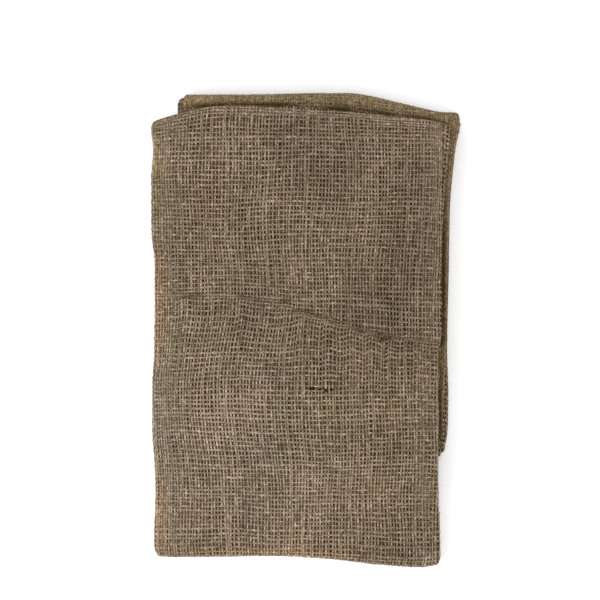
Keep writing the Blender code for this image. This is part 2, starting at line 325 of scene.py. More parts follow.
# %% The loop round one cut
def make_loop(columns, turn_steps):
    """Arrays with one row for each point round the cut, at the middle of the wall."""
    keys = ("mark", "edge", "share", "beside", "level", "out_x", "out_level")
    rows = []
    for index, ((level, start, end), (_, middle, radius)) in enumerate(zip(CUT, edge_turns())):
        goes = -EDGE_BULGE[start]
        shares = columns if goes > 0 else columns[::-1]
        rows.append((2 * index, start, 0.0, 0.0, level * LAYER_PITCH, 0.0, -goes))
        for share in shares:
            along = share if goes > 0 else 1 - share
            rows.append((2 * index + along, "", share, 0.0, level * LAYER_PITCH, 0.0, -goes))
        rows.append((2 * index + 1, end, 0.0, 0.0, level * LAYER_PITCH, 0.0, -goes))
        down = math.copysign(1.0, radius)
        outward = -goes * down
        for step in range(1, turn_steps):
            angle = math.pi * step / turn_steps
            to_x = EDGE_BULGE[end] * math.sin(angle)
            to_level = down * math.cos(angle)
            rows.append((2 * index + 1 + step / turn_steps, end, 0.0, abs(radius) * to_x,
                         middle + abs(radius) * to_level, outward * to_x, outward * to_level))
    return {key: np.array([row[i] for row in rows]) for i, key in enumerate(keys)}


COLUMNS_FINE = np.linspace(COLUMNS[0], COLUMNS[-1], 17)
TURN_STEPS = 8
LOOP_END = 2.0 * len(CUT)      # the mark where the loop comes round again
loop = make_loop(COLUMNS_FINE, TURN_STEPS)
print("points round the cut:", len(loop["mark"]))


# %% The way along the sack
def make_way(spacing, fold_steps, crease_steps):
    """Lines from closed end to mouth, each as (band, y at edges and columns, fold, angle)."""
    places = [(1, line_ys("closed_end"), None, 0.0)]
    for band, start, end in WAY:
        from_ys, to_ys = line_ys(start), line_ys(end)
        steps = max(1, round(float(np.abs(to_ys - from_ys).mean()) / spacing))
        if "crease" in (start, end):
            steps = crease_steps
        for step in range(1, steps + 1):
            between = step / steps
            places.append((band, from_ys * (1 - between) + to_ys * between, None, 0.0))
        if end.startswith("fold_"):
            for step in range(1, fold_steps):
                places.append((band, to_ys, end, math.pi * step / fold_steps))
            places.append((band + 1, to_ys, None, 0.0))
    return places


way = make_way(spacing=8.0 * MM, fold_steps=10, crease_steps=8)
print("lines along the way:", len(way))

# %% [markdown]
# ## The old crease
# Halfway down the front runs an old crease, left from an earlier fold. It isn't one clean line: it
# is a chain of short wrinkles that start and stop, some side by side, and each leans over a little.
# A displacement map would do for shallow relief, but the wrinkles hang over, so the points are
# moved in two directions. Layers lower down follow less and less.

# %% The wrinkles
WRINKLES = (  # x at both ends; how far above the crease line there; rise; half width; in mm; lean
    (-92.8, -70.4, -0.3, 3.6, 1.6, 1.1, +1),
    (-102.0, -88.0, 1.9, 0.3, 0.8, 1.0, +1),
    (-71.0, -48.0, 1.8, 2.0, 0.9, 1.0, +1),
    (-51.0, -28.0, 0.0, -0.6, 1.6, 1.0, -1),
    (-31.0, -6.5, 2.0, 6.2, 1.2, 1.0, +1),
    (-16.0, 12.0, -3.2, 0.2, 2.0, 1.1, -1),
    (8.0, 33.0, -0.6, 2.3, 2.2, 1.1, -1),
    (-12.0, 12.0, -3.6, 0.6, 1.0, 0.9, +1),
    (27.0, 45.0, 2.5, 2.0, 2.3, 1.2, +1),
    (41.0, 58.0, 2.3, 1.9, 2.6, 1.2, +1),
    (33.0, 46.0, -2.9, -1.9, 1.2, 0.9, -1),
    (47.0, 58.0, -1.4, -1.0, 2.0, 1.2, +1),
    (55.0, 76.0, 0.6, 1.4, 2.1, 1.1, +1),
    (73.0, 95.0, 1.2, 2.2, 1.8, 1.1, +1),
    (62.0, 84.0, 4.2, 4.5, 0.9, 1.0, -1),
)
TAPER = 5.0                    # mm over which a wrinkle fades at each end
WOBBLES = ((0.5, 4.3, 0.0), (0.35, 2.1, 1.0))      # reach and length in mm; phase
RISE_SHARE, RISE_LENGTH = 0.25, 2.7                # how much the rise varies, and over what, in mm


def bell(distance, width):
    """1 at a distance of 0, falling away smoothly."""
    return np.exp(-(distance / width) ** 2)


def wrinkle_shapes(x, from_line):
    """For each wrinkle: its rise at x, the distance from its ridge in half widths, and its lean."""
    wobble = sum(reach * MM * np.sin(x / (length * MM) + phase) for reach, length, phase in WOBBLES)
    for start, end, above_start, above_end, rise, half_width, lean in WRINKLES:
        here = fade(x, start, TAPER) * fade(-x, -end, TAPER)
        uneven = 1.0 - RISE_SHARE + RISE_SHARE * np.sin(x / (RISE_LENGTH * MM) + start)
        share = np.clip((x / MM - start) / (end - start), 0.0, 1.0)
        above = (above_start * (1.0 - share) + above_end * share) * MM
        off = (from_line - wobble - above) / (half_width * MM) * lean
        yield rise * MM * here * uneven, off, lean


print("wrinkles:", len(WRINKLES), " highest:", max(row[4] for row in WRINKLES), "mm")

# %% Moving points into the wrinkles
CREST = ((1.0, 0.0, 1.0), (0.25, 1.5, 2.2), (-0.38, -1.5, 0.9))    # share; place; width
HANG, HANG_AT = 0.60, -0.3     # how far a wrinkle hangs over, and where most


def outline(table, off):
    """An outline across a wrinkle from a few bells, such as crest, slow rise and dip."""
    return sum(share * bell(off - at, width) for share, at, width in table)


def below_top(z):
    """1 at the top of the top band, 0 at its foot and below."""
    return smooth_step((z - (HEIGHT - BAND_THICK)) / BAND_THICK)


def add_crease(x, y, z, line_y):
    """Moves points near the crease: up into each wrinkle, down beside it, and the wrinkle over."""
    lift, over = np.zeros_like(z), np.zeros_like(z)
    for rise, off, lean in wrinkle_shapes(x, y - line_y):
        lift += rise * outline(CREST, off)
        over += HANG * rise * bell(off - HANG_AT, 1.0) * lean
    return y - over * below_top(z), z + lift * below_top(z)


print("a wrinkle from side to side:", outline(CREST, np.linspace(-4.0, 4.0, 9)).round(2))


# %% [markdown]
# ## Slow swells and small puckers
# Cloth that lies loose is never level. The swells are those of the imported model, and grow with the
# height, because each layer adds its own. The puckers are small and only in the top of the sack.
# Both are crossed waves with odd lengths, so that no pattern is seen.

# %% Swells and puckers
SWELLS = (  # rise in mm; length of a whole wave along x and y in mm; phase along x and y
    (0.70, 300.0, 420.0, 0.4, 1.1),
    (0.40, 210.0, 260.0, 2.1, 0.3),
)
PUCKERS = (
    (0.22, 61.0, 83.0, 0.7, 2.0),
    (0.16, 37.0, 52.0, 4.0, 0.9),
    (0.10, 23.0, 95.0, 1.9, 3.3),
)


def crossed_waves(table, x, y):
    """The sum of the crossed waves in a table, in metres; a length is that of one radian."""
    return sum(rise * MM * np.sin(x / (length_x * MM) + phase_x)
               * np.sin(y / (length_y * MM) + phase_y)
               for rise, length_x, length_y, phase_x, phase_y in table)


def add_unevenness(x, y, z):
    """Lifts points by the slow swells and, near the top, by the small puckers."""
    turns_x, turns_y = 2 * math.pi * x, 2 * math.pi * y        # each length is a whole wave here
    return (z + crossed_waves(SWELLS, turns_x, turns_y) * (z / HEIGHT) ** 2
            + crossed_waves(PUCKERS, turns_x, turns_y) * below_top(z))


print("swells:", len(SWELLS), " puckers:", len(PUCKERS))

# %% [markdown]
# ## Laying the cloth
# Now every point of the loop can be laid at every place on the way: across between the edges, along
# the line, up to its layer's level, round the folds, and down where a band hangs past those below.
# The corners of a fold draw in a little, because the cloth goes round there in two directions.

# %% How far the long bands come down
STEP_SINK = 2 * BAND_PITCH     # bands 1 and 2 hang past bands 3 and 4 at the foot
END_SINK = 2.0 * MM            # bands 1 to 3 sag a little past the mouth


def sink(band, y):
    """How far a band that hangs past those below it has come down at y."""
    depth = np.zeros_like(y)
    if band <= 3:
        depth += END_SINK * smooth_step((y - END_TOP) / (END_FOOT - END_TOP))
    if band <= 2:
        depth += STEP_SINK * smooth_step((STEP_TOP - y) / (STEP_TOP - STEP_FOOT))
    return depth


print("down at the foot:", round(STEP_SINK / MM, 1), "mm")

# %% Across the sack, and round a fold
FOLD_TUCK = {                  # how far the left and right ends of a fold draw in
    "fold_1": (2.5 * MM, 2.5 * MM), "fold_2": (2.0 * MM, 1.2 * MM), "fold_3": (1.0 * MM, 1.0 * MM),
}


def across_marks(band, ys):
    """Where the loop turns at each edge, and the x of the edges and columns, for a table of ys."""
    marks = {}
    for edge, bulge in EDGE_BULGE.items():
        y = ys[0] if edge in LEFT_EDGES else ys[-1]
        marks[edge] = edge_x(band, edge, y) - bulge * EDGE_REACH[edge]
    left = max(marks[edge] for edge in LEFT_EDGES)
    right = min(marks[edge] for edge in RIGHT_EDGES)
    knots = [min(edge_x(band, edge, ys[0]) for edge in LEFT_EDGES),
             *(left + (right - left) * share for share in COLUMNS),
             max(edge_x(band, edge, ys[-1]) for edge in RIGHT_EDGES)]
    return marks, left, right, knots


def round_fold(x, y, fold, angle, radius, knots):
    """Carries points round a lengthwise fold by an angle, and draws in the ends of the fold."""
    from_middle = (2 * x - knots[0] - knots[-1]) / (knots[-1] - knots[0])
    tuck_left, tuck_right = FOLD_TUCK[fold]
    tuck = -from_middle * np.where(from_middle > 0, tuck_right, tuck_left)
    return (x + tuck * (radius / BEND_REACH) * math.sin(angle) ** 2,
            y + fold_side(fold) * radius * math.sin(angle))


on_line = across_marks(1, line_ys("fold_1"))
print("at the foot, the loop turns at x in mm:",
      {edge: round(x / MM, 1) for edge, x in on_line[0].items()})


# %% Laying the loop at one place on the way
def lay_loop(loop, place, side):
    """Points of the loop at one place on the way; side is +1 outside the wall and -1 inside it."""
    band, ys, fold, angle = place
    marks, left, right, knots = across_marks(band, ys)
    x = left + (right - left) * loop["share"]
    for edge in EDGE_BULGE:
        x = np.where(loop["edge"] == edge, marks[edge], x)
    x = x + loop["beside"] + side * loop["out_x"] * WALL / 2
    level = loop["level"] + side * loop["out_level"] * WALL / 2
    y = smooth_through(x, knots, ys)
    faces_up = +1 if band % 2 else -1
    middle = (BANDS - band) * BAND_PITCH + BAND_THICK / 2
    if fold:
        radius = BAND_PITCH / 2 + faces_up * level
        z = middle - BAND_PITCH / 2 + radius * math.cos(angle)
        x, y = round_fold(x, y, fold, angle, radius, knots)
    else:
        z = middle + faces_up * level
    z = z - sink(band, y)
    z = add_unevenness(x, y, z)
    if band == 1 and not fold:
        y, z = add_crease(x, y, z, smooth_through(x, knots, line_ys("crease")))
    return np.stack((x, y, z), axis=-1)


first_line = lay_loop(loop, way[0], +1)
print("first line, highest point:", round(float(first_line[:, 2].max()) / MM, 1), "mm")

# %% [markdown]
# ## The closed end
# At the closed end the cloth of one wall turns over into the other, three pairs of layers side by
# side. Each pair of points that lie opposite each other on the loop is joined by a small half turn.

# %% Half turns at the closed end
END_ANGLES = np.radians((90.0, 67.5, 45.0, 22.5))
SEAM_MIDDLE = 11.5             # mark at the middle of the turn at the side seam


def partners(loop):
    """For each point of the loop, the one opposite it in the other wall."""
    count = len(loop["mark"])
    first = int(np.argmin(np.abs(loop["mark"] - SEAM_MIDDLE)))
    return (2 * first - np.arange(count)) % count


def end_turn(points, pair, angle):
    """The points carried by an angle round the closed end, towards their partners."""
    middle = (points + points[pair]) / 2
    half = (points - points[pair]) / 2
    turned = middle + half * math.cos(angle)
    turned[:, 1] += np.linalg.norm(half, axis=1) * math.sin(angle)
    return turned


def lay_cloth(loop, way, end_angles):
    """Outer and inner points of the wall, row by row: first the closed end, then the way."""
    pair = partners(loop)
    both = []
    for side in (+1, -1):
        rows = [lay_loop(loop, place, side) for place in way]
        ends = [end_turn(rows[0], pair, angle) for angle in end_angles]
        both.append(np.array(ends + rows))
    return both


outer, inner = lay_cloth(loop, way, END_ANGLES)
print("rows of points:", len(outer), " points in a row:", len(loop["mark"]))

# %% [markdown]
# ## Places on the cloth itself
# A weave follows the cloth, not the room. So each point also gets its place on the flat cloth, in
# metres: how far round the loop, and how far along the way. The second is measured along the folded
# cloth, so that the cross yarns bunch where it dips.

# %% Place round and along
MEASURED_LINE = 12             # the loop is measured on this line, a little below the closed end


def measure_round(line):
    """How far round the loop each point lies, in metres, on one line across the sack."""
    closed = np.vstack((line, line[:1]))
    return np.concatenate(([0.0], np.cumsum(np.linalg.norm(np.diff(closed, axis=0), axis=1))))


def measure_along(rows):
    """How far along the way each point lies, in metres, by the cloth's own length."""
    steps = np.linalg.norm(np.diff(rows, axis=0), axis=2)
    return np.vstack((np.zeros(rows.shape[1]), np.cumsum(steps, axis=0)))


u_round = measure_round(((outer + inner) / 2)[len(END_ANGLES) + MEASURED_LINE])
v_along = measure_along((outer + inner) / 2)
print("round the cut:", round(u_round[-1], 3), "m")
print("along the way:", round(float(v_along[-1].mean()), 3), "m")

# %% [markdown]
# ## Which cloth is woven from yarns
# All the layers together hold well over a hundred thousand crossings of yarns, and most of them are
# hidden. Only the outermost cloth is woven yarn by yarn: the front with the turns at both its
# sides, the strip at the top, the right margin, and the underside. There the plain wall is left
# out, so that one sees through the holes down to the next layer, as in the real cloth.


# %% The cells between the points of the cloth
def along_mark(way, end_count):
    """For each line, its band and mean y; folds count as half bands, the closed end as 0."""
    bands = [0.0] * end_count
    ys = [float(way[0][1].mean())] * end_count
    for band, line, fold, _ in way:
        bands.append(band + 0.5 if fold else float(band))
        ys.append(float(line.mean()))
    return np.array(bands), np.array(ys)


def cells_along(way, end_count):
    """The band and y of each row of cells, as columns; a fold takes in the cells at its ends."""
    bands, ys = along_mark(way, end_count)
    return (np.where(bands[1:] % 1, bands[1:], bands[:-1])[:, None],
            ((ys[:-1] + ys[1:]) / 2)[:, None])


def cell_marks(marks):
    """The mark in the middle of each cell between a point of the loop and the next."""
    after = np.roll(marks, -1)
    return (marks + np.where(after > marks, after, after + LOOP_END)) / 2 % LOOP_END


print("bands of the cells:", np.unique(cells_along(way, len(END_ANGLES))[0]))

# %% Patches of outer cloth
FRONT, FOOT, TOP, UNDER = 1, 2, 3, 4
TUCK_SHARE = 0.03                          # how far a patch goes in between the layers
FRONT_MARKS = (11.0, 2.0 + TUCK_SHARE)     # the front's own layer, with the turns at both its sides
BACK_MARKS = (5.5, 8.0 + TUCK_SHARE)       # the layer that faces out where a band is turned over
MARGIN_FROM = 6.86                         # on that layer, where the right margin starts
END_FROM = 9.0                             # the far half of the front's turn at the closed end
STRIP_FROM = 118.0 * MM                    # y of the top strip on band 2, under the front's end
STRIP_BELOW_FROM = 127.0 * MM              # the same on band 3
FOOT_TO = STEP_TOP + 2.0 * MM              # y of the foot's patch on band 2
UNDER_TO = -78.0 * MM                      # y of the underside's patch on band 3


def patch_of(mark, band, y):
    """Which patch of outer cloth a place belongs to, or 0 for none."""
    front = (mark >= FRONT_MARKS[0]) | (mark <= FRONT_MARKS[1])
    back = (mark >= BACK_MARKS[0]) & (mark <= BACK_MARKS[1])
    foot = (band == 2.0) & (y < FOOT_TO)
    strip = ((band == 2.5) | ((band == 2.0) & (y > STRIP_FROM))
             | ((band == 3.0) & (y > STRIP_BELOW_FROM)))
    margin = (mark >= MARGIN_FROM) & (band == 2.0) & (y > STEP_TOP)
    under = (band == 3.5) | (band == 4.0) | ((band == 3.0) & (y < UNDER_TO))
    patch = np.zeros(np.broadcast(mark, band, y).shape, int)
    patch[front & (band <= 1.5)] = FRONT
    patch[front & foot] = FOOT
    patch[back & (strip | margin)] = TOP
    patch[front & under] = UNDER
    patch[(band == 0.0) & (mark >= END_FROM)] = FRONT
    return patch


wall_patches = patch_of(cell_marks(loop["mark"])[None, :], *cells_along(way, len(END_ANGLES)))
print("cells of plain wall, front, foot, top, underside:", np.bincount(wall_patches.ravel()))

# %% [markdown]
# ## The wall
# The rest of the cloth is one closed mesh: an outer face, an inner face, and a rim wherever the
# wall stops, at the mouth and round the woven patches. At the closed end two rows of points fall
# together, and they are made one, so no seam is open. Behind the woven turns at the sides a thinner
# wall stays, or else the floor would shine through the yarns of the outermost edge.


# %% Where the wall is left out, and where it is thinner
def wall_cells(loop, way, end_count):
    """Cells of the wall that are left out for woven yarns, and points where the wall is thinner."""
    mark = cell_marks(loop["mark"])[None, :]
    band, y = cells_along(way, end_count)
    woven = patch_of(mark, band, y) > 0
    backing = woven & (mark % 2 > 1) & (band > 0)
    thin = np.zeros((len(band) + 1, mark.size), bool)
    for down in (0, 1):
        for on in (0, 1):
            thin[down:len(band) + down] |= np.roll(backing, on, axis=1)
    thin[:end_count + 1] = False
    return woven & ~backing, thin


left_out, thin = wall_cells(loop, way, len(END_ANGLES))
print("cells left out:", int(left_out.sum()), " points of thinner wall:", int(thin.sum()))


# %% Faces of one side of the wall
def wall_numbers(loop, lines, end_count):
    """The number of each point; points that fall together at the closed end share one."""
    pair = partners(loop)
    count = len(pair)
    numbers = np.arange(lines * count).reshape(lines, count)
    numbers[0] = np.minimum(numbers[0], numbers[0][pair])
    for k in np.flatnonzero(pair == np.arange(count)):
        numbers[:end_count, k] = numbers[end_count, k]
    return numbers


def one_side(numbers, left_out, u_round, v_along):
    """Faces of the outer side; each corner is a point's number and its place on the cloth."""
    count = numbers.shape[1]
    faces = []
    for i, k in np.argwhere(~left_out):
        j = (k + 1) % count
        face = [(int(numbers[row, column]), (u, v_along[row, column]))
                for row, column, u in ((i, k, u_round[k]), (i, j, u_round[k + 1]),
                                       (i + 1, j, u_round[k + 1]), (i + 1, k, u_round[k]))]
        face = [corner for n, corner in enumerate(face) if corner[0] != face[n - 1][0]]
        if len(face) > 2:
            faces.append(face)
    return faces


side = one_side(wall_numbers(loop, len(outer), len(END_ANGLES)), left_out, u_round, v_along)
print("faces of one side of the wall:", len(side))


# %% Both sides and the rim
def close_wall(side, shift):
    """The faces of a closed wall; shift is from an outer point's number to the inner one's."""
    faces, edges = [], {}
    for face in side:
        faces.append(face)
        faces.append([(number + shift, place) for number, place in reversed(face)])
        for first, second in zip(face, face[1:] + face[:1]):
            edges.setdefault(frozenset((first[0], second[0])), []).append((first, second))
    for uses in edges.values():
        if len(uses) == 1:             # an edge with a face on one side only is part of the rim
            (a, place_a), (b, place_b) = uses[0]
            faces.append([(b, place_b), (a, place_a), (a + shift, place_a), (b + shift, place_b)])
    return faces


wall_faces = close_wall(side, thin.size)
print("faces with the other side and the rim:", len(wall_faces))

# %% The wall's mesh
BACKING = 0.3                  # share of the wall's thickness that stays behind a woven turn
BACKING_SHADE = 0.9            # how much it is shaded as cloth between layers
SHADE_FROM, SHADE_OVER = 0.02, 0.06        # where the shade starts at a turn, in shares of a layer
SHARP_FROM = math.radians(50)


def layer_shade(loop, thin):
    """For each point, 1 between the layers and 0 at the turns, where light comes in."""
    within = loop["mark"] % 2
    from_turn = np.minimum(within, 1 - within)
    shade = np.tile(smooth_step((from_turn - SHADE_FROM) / SHADE_OVER), (len(thin), 1))
    return np.where(thin, BACKING_SHADE, shade)


def wall_to_mesh(name, outer, inner, faces, shade):
    """The wall's points and faces as a mesh, with the flat cloth as its UV map."""
    mesh = bpy.data.meshes.new(name)
    points = np.vstack((outer.reshape(-1, 3), inner.reshape(-1, 3)))
    mesh.from_pydata(points.tolist(), [], [[number for number, _ in face] for face in faces])
    # painted shade between the layers, read by the wall's material
    inside = mesh.attributes.new("painted_shade_between_layers", "FLOAT", "POINT")
    inside.data.foreach_set("value", np.tile(shade.ravel(), 2))
    places = np.array([place for face in faces for _, place in face])
    mesh.uv_layers.new(name="cloth").data.foreach_set("uv", places.ravel())
    return mesh


thinned = np.where(thin[..., None], inner + BACKING * (outer - inner), outer)
wall_mesh = wall_to_mesh("sack_wall", thinned, inner, wall_faces, layer_shade(loop, thin))
print("points of the wall:", len(wall_mesh.vertices))


# %% Cleaning the wall
def clean_mesh(mesh):
    """Takes away points without a face, turns all faces outwards, and counts open edges."""
    shell = bmesh.new()
    shell.from_mesh(mesh)
    bmesh.ops.delete(shell, geom=[v for v in shell.verts if not v.link_faces], context="VERTS")
    bmesh.ops.recalc_face_normals(shell, faces=shell.faces)
    shell.to_mesh(mesh)
    open_edges = sum(1 for edge in shell.edges if len(edge.link_faces) != 2)
    shell.free()
    mesh.shade_smooth()
    mesh.set_sharp_from_angle(angle=SHARP_FROM)
    mesh.update()
    return open_edges


open_edges = clean_mesh(wall_mesh)
sack_wall = bpy.data.objects.new("sack_wall", wall_mesh)
bpy.context.scene.collection.objects.link(sack_wall)
print("sack_wall triangles:", sum(len(face.vertices) - 2 for face in wall_mesh.polygons),
      " open edges:", open_edges)

# %% [markdown]
# ## How the threads run on the front
# Yarns could be laid along the edges of the folded sack, but a real sack is never folded quite on
# the thread. So the cross yarns are let off the folds a little and run straighter than them, both
# sets drift slowly to the side, and they crowd where the cloth turns.

# %% The front's lines
FRONT_LEFT, FRONT_WIDTH = -105.5 * MM, 199.0 * MM
FRONT_KNOTS = np.array((-108.0 * MM, *(FRONT_LEFT + FRONT_WIDTH * np.array(COLUMNS)), 95.0 * MM))


def front_line(name, x):
    """y of one of the lines of the front at x, without the folds' own roundness."""
    return smooth_through(x, FRONT_KNOTS, np.array(LINES[name]) * MM)


print("the front's foot at x = 0:", round(float(front_line("fold_1", 0.0)) / MM, 1), "mm")

# %% Slow drift of the threads
DRIFT = 3.8 * MM               # the long threads bend this far below the crease, in the left part
BELOW_CREASE = ((-18.0, 42.0), (30.0, 110.0))      # rises from, over; falls from, over; mm down
LEFT_PART = ((-106.0, 30.0), (-30.0, 60.0))        # the same in mm to the right
DRIFTS_ACROSS = ((0.9, 40.0, 29.0, 0.5, 0.6),)     # as in the table of swells, but for one radian
DRIFTS_ALONG = ((0.8, 33.0, 47.0, 1.2, 0.4), (0.35, 12.5, 26.0, 0.0, math.pi / 2))


def up_and_down(at, rise, fall):
    """Rises from 0 to 1 and falls again; rise and fall each say from where and over what, in mm."""
    return fade(at, *rise) * (1.0 - fade(at, *fall))


def thread_shift(x, y):
    """How far the threads of the front are off the plain grid, across and along, in metres."""
    bend = DRIFT * up_and_down(-y, *BELOW_CREASE) * up_and_down(x, *LEFT_PART)
    return bend + crossed_waves(DRIFTS_ACROSS, x, y), crossed_waves(DRIFTS_ALONG, x, y)


print("drift in the middle of the front:",
      [round(float(shift) / MM, 2) for shift in thread_shift(0.0, 0.0)], "mm")

# %% Threads off the folds
THREAD_END, THREAD_CREASE, THREAD_FOOT = 155.0 * MM, 8.0 * MM, -161.0 * MM     # if quite straight
END_SHARE, CREASE_SHARE, FOOT_SHARE = 0.60, 0.18, 0.60         # how far they leave the lines
SPARE_SHARE = 0.85             # how much of the length that the crease takes up is let out again
CREASE_REACH = 22.0 * MM
NEAR_END, NEAR_FOOT, BELOW = (-20.0, 20.0), (120.0, 45.0), (8.0, 40.0)         # from, over; mm


def off_the_fold(x, y, end_y, spare):
    """How far the cross threads of the front leave the lines of its ends and its crease, in metres.

    end_y is where the closed end is on the same long thread, and spare the length that the crease
    takes up there."""
    crease_line, foot = (front_line(name, x) for name in ("crease", "fold_1"))
    near_crease = bell(y - crease_line, CREASE_REACH)
    return ((THREAD_END - end_y) * (1.0 - END_SHARE * fade(y - end_y, *NEAR_END))
            + CREASE_SHARE * (crease_line - THREAD_CREASE) * near_crease
            + FOOT_SHARE * (foot - THREAD_FOOT) * fade(-y, *NEAR_FOOT)
            - SPARE_SHARE * spare * fade(crease_line - y, *BELOW))


middle_of_foot = off_the_fold(0.0, THREAD_FOOT, THREAD_END, 0.0)
print("off the fold in the middle of the foot:", round(float(middle_of_foot) / MM, 2), "mm")

# %% Crowded threads
CROWDS = {                     # from where; over what; how much cloth is pushed together; in mm
    "seam": (90.0, 4.0, 3.6), "fold": (99.0, 8.0, 2.4),
    "end": (0.0, 6.5, 4.0), "crease": (-2.6, 5.0, 2.2),
}


def crowded(name, at):
    """How far the threads have been pushed together at a place, in metres."""
    start, over, most = CROWDS[name]
    return fade(at, start, over) * most * MM


def crowding(x, y, end_y):
    """How the front's threads crowd: across at its sides, along at its closed end and crease."""
    return (crowded("fold", -x) - crowded("seam", x),
            crowded("end", end_y - y) + crowded("crease", front_line("crease", x) - y))


print("crowded cloth in mm:", {name: row[2] for name, row in CROWDS.items()})

# %% [markdown]
# ## Dust and painted shade in the folds
# Dust settles in the old crease, and little light gets under its wrinkles. Beside the front's edges
# # there is shade as well. Both are painted into the colour here as darker cloth. It is measured from
# # the same wrinkles that shape the cloth, kept on the guides as a share of colour that is left, and
# # used later in the yarns' material, so that it falls exactly where the folds are.

# %% Dust and painted shade
MOST_DUST_AND_SHADE = 0.78               # share of the colour that dust and shade take where they are deepest
DUSTY_SHADED_RISE = 2.0 * MM          # a wrinkle this high has the full dust and painted shade at its foot
DUST_AND_SHADE_OUTLINE = ((1.15, -1.2, 0.55), (0.1, 0.0, 1.6))       # share; place; width, as for a crest
PATCHY, PATCH_LENGTHS = 0.3, (1.3, 3.1)    # how patchy the dust is, and over what, in mm
EDGE_YS = (-160.0 * MM, 147.0 * MM)        # y between which the front's side edge is read
SIDE_SHADE = (1.2, 1.4, 140.0, 6.0)        # how far past the edge; width; where it ends; over what
END_SHADE = (0.5, 1.3, 98.0, 6.0)          # the same past the closed end, in mm


def crease_dust_and_shade(x, y):
    """How much of the cloth's colour is left where dust settles in the old crease and shade is
    painted.
    """
    dust = np.zeros_like(x)
    short, long = (x / (length * MM) for length in PATCH_LENGTHS)
    patchy = 1.0 - PATCHY + PATCHY * np.sin(short + 2.0 * np.sin(long))
    # dust holds the settled dust and the painted shade under the wrinkles together
    for rise, off, _ in wrinkle_shapes(x, y - front_line("crease", x)):
        dust = np.maximum(dust, rise / DUSTY_SHADED_RISE * patchy * outline(DUST_AND_SHADE_OUTLINE, off))
    return 1.0 - MOST_DUST_AND_SHADE * np.clip(dust, 0.0, 1.0)


def edge_shade(past_edge, along_edge, middle, width, end, over):
    """A narrow line of shade just past an edge, fading out along it; the last four are in mm."""
    return bell(past_edge - middle * MM, width * MM) * fade(-along_edge, -end, over)


def edge_painted_shade(x, y):
    """Painted shade: how much colour is left in a line beside and above the front's own edges."""
    edge_ys = np.clip(y, *EDGE_YS)
    side = np.array([edge_x(1, "side_a", place) for place in edge_ys.ravel()]).reshape(y.shape)
    beside = edge_shade(x - side, y, *SIDE_SHADE)
    above = edge_shade(y - front_line("closed_end", x), x, *END_SHADE)
    return 1.0 - MOST_DUST_AND_SHADE * np.maximum(beside, above)


print("colour left at two places in the crease:",
      crease_dust_and_shade(np.array((0.02, 0.05)), np.array((0.005, -0.002))).round(2))

# %% [markdown]
# ## Guides for the yarns
# Each patch gets a guide: the middle of its wall as an open grid, with its flat place on every
# point and the direction outwards. The yarns are laid out on the flat cloth and carried over to the
# guide.

# %% A stretch of cloth
GUIDE_TURN_STEPS = 10
GUIDE_FOLD_STEPS = 14
GUIDE_LINE = 20                # a guide is measured round on this line, as the wall is
LAST_STEP = 0.5 * MM           # from the last point of the loop to its first


def lay_stretch(loop, way, from_mark, to_mark, end_angles):
    """The middle of the wall from mark to mark: points, way outwards, marks and place round."""
    outer, inner = lay_cloth(loop, way, end_angles)
    count = len(loop["mark"])
    first, last = (int(np.argmin(np.abs(loop["mark"] - mark))) for mark in (from_mark, to_mark))
    order = np.arange(first, last + 1 + (count if last < first else 0)) % count
    middle = (outer + inner) / 2
    outward = outer - inner
    outward /= np.linalg.norm(outward, axis=2, keepdims=True) + TINY
    u = measure_round(middle[len(end_angles) + GUIDE_LINE])[:-1]
    round_again = u + u[-1] - u[first] + LAST_STEP
    u = np.where(np.arange(count) >= first, u - u[first], round_again)
    return middle[:, order], outward[:, order], loop["mark"][order], u[order]


stretch = lay_stretch(loop, way, *FRONT_MARKS, END_ANGLES)
print("the front is", round(float(stretch[3][-1]) / MM, 1), "mm wide with its turns")

# %% Threads of the front
PAST_CREASE = -45.0 * MM       # the length that the crease takes up is measured down to here
FRONT_YS = (-160.0 * MM, 160.0 * MM)       # past these, the threads stay as far off the fold


def front_threads(points, outward, v, bands, ys, end_count):
    """How far the threads of the front are off the plain grid at each point, across and along."""
    x, y = points[..., 0], points[..., 1]
    facing = np.clip(outward[..., 2], 0.0, 1.0)
    end_y = y[end_count] + (LAYER_PITCH + WALL) / 2
    past = int(np.argmin(np.where(bands == 1.0, np.abs(ys - PAST_CREASE), 1.0)))
    spare = v[past] - v[end_count] - (y[end_count] - y[past])
    across, along = thread_shift(x, y)
    crowd_across, crowd_along = crowding(x, y, end_y)
    off = off_the_fold(x, np.clip(y, *FRONT_YS), end_y, spare)
    return crowd_across - across * facing, off + crowd_along + along * facing


shifts = front_threads(*stretch[:2], measure_along(stretch[0]),
                       *along_mark(way, len(END_ANGLES)), len(END_ANGLES))
print("threads are off the grid by up to",
      [round(float(np.abs(shift).max()) / MM, 1) for shift in shifts], "mm")


# %% Faces of a guide
def guide_faces(patch, marks, way, end_count):
    """The cells of a stretch that belong to a patch, each as four numbers of points."""
    mark = cell_marks(marks)[None, :-1]
    band, y = cells_along(way, end_count)
    wanted = patch_of(mark, band, y) == patch
    wanted &= (band > 0.0) | (mark >= SEAM_MIDDLE) | (mark <= 2.0)
    i, k = np.nonzero(wanted)
    corner = i * len(marks) + k
    return np.stack((corner, corner + 1, corner + len(marks) + 1, corner + len(marks)), axis=1)


print("cells of the front on the coarse cloth:",
      len(guide_faces(FRONT, stretch[2], way, len(END_ANGLES))))


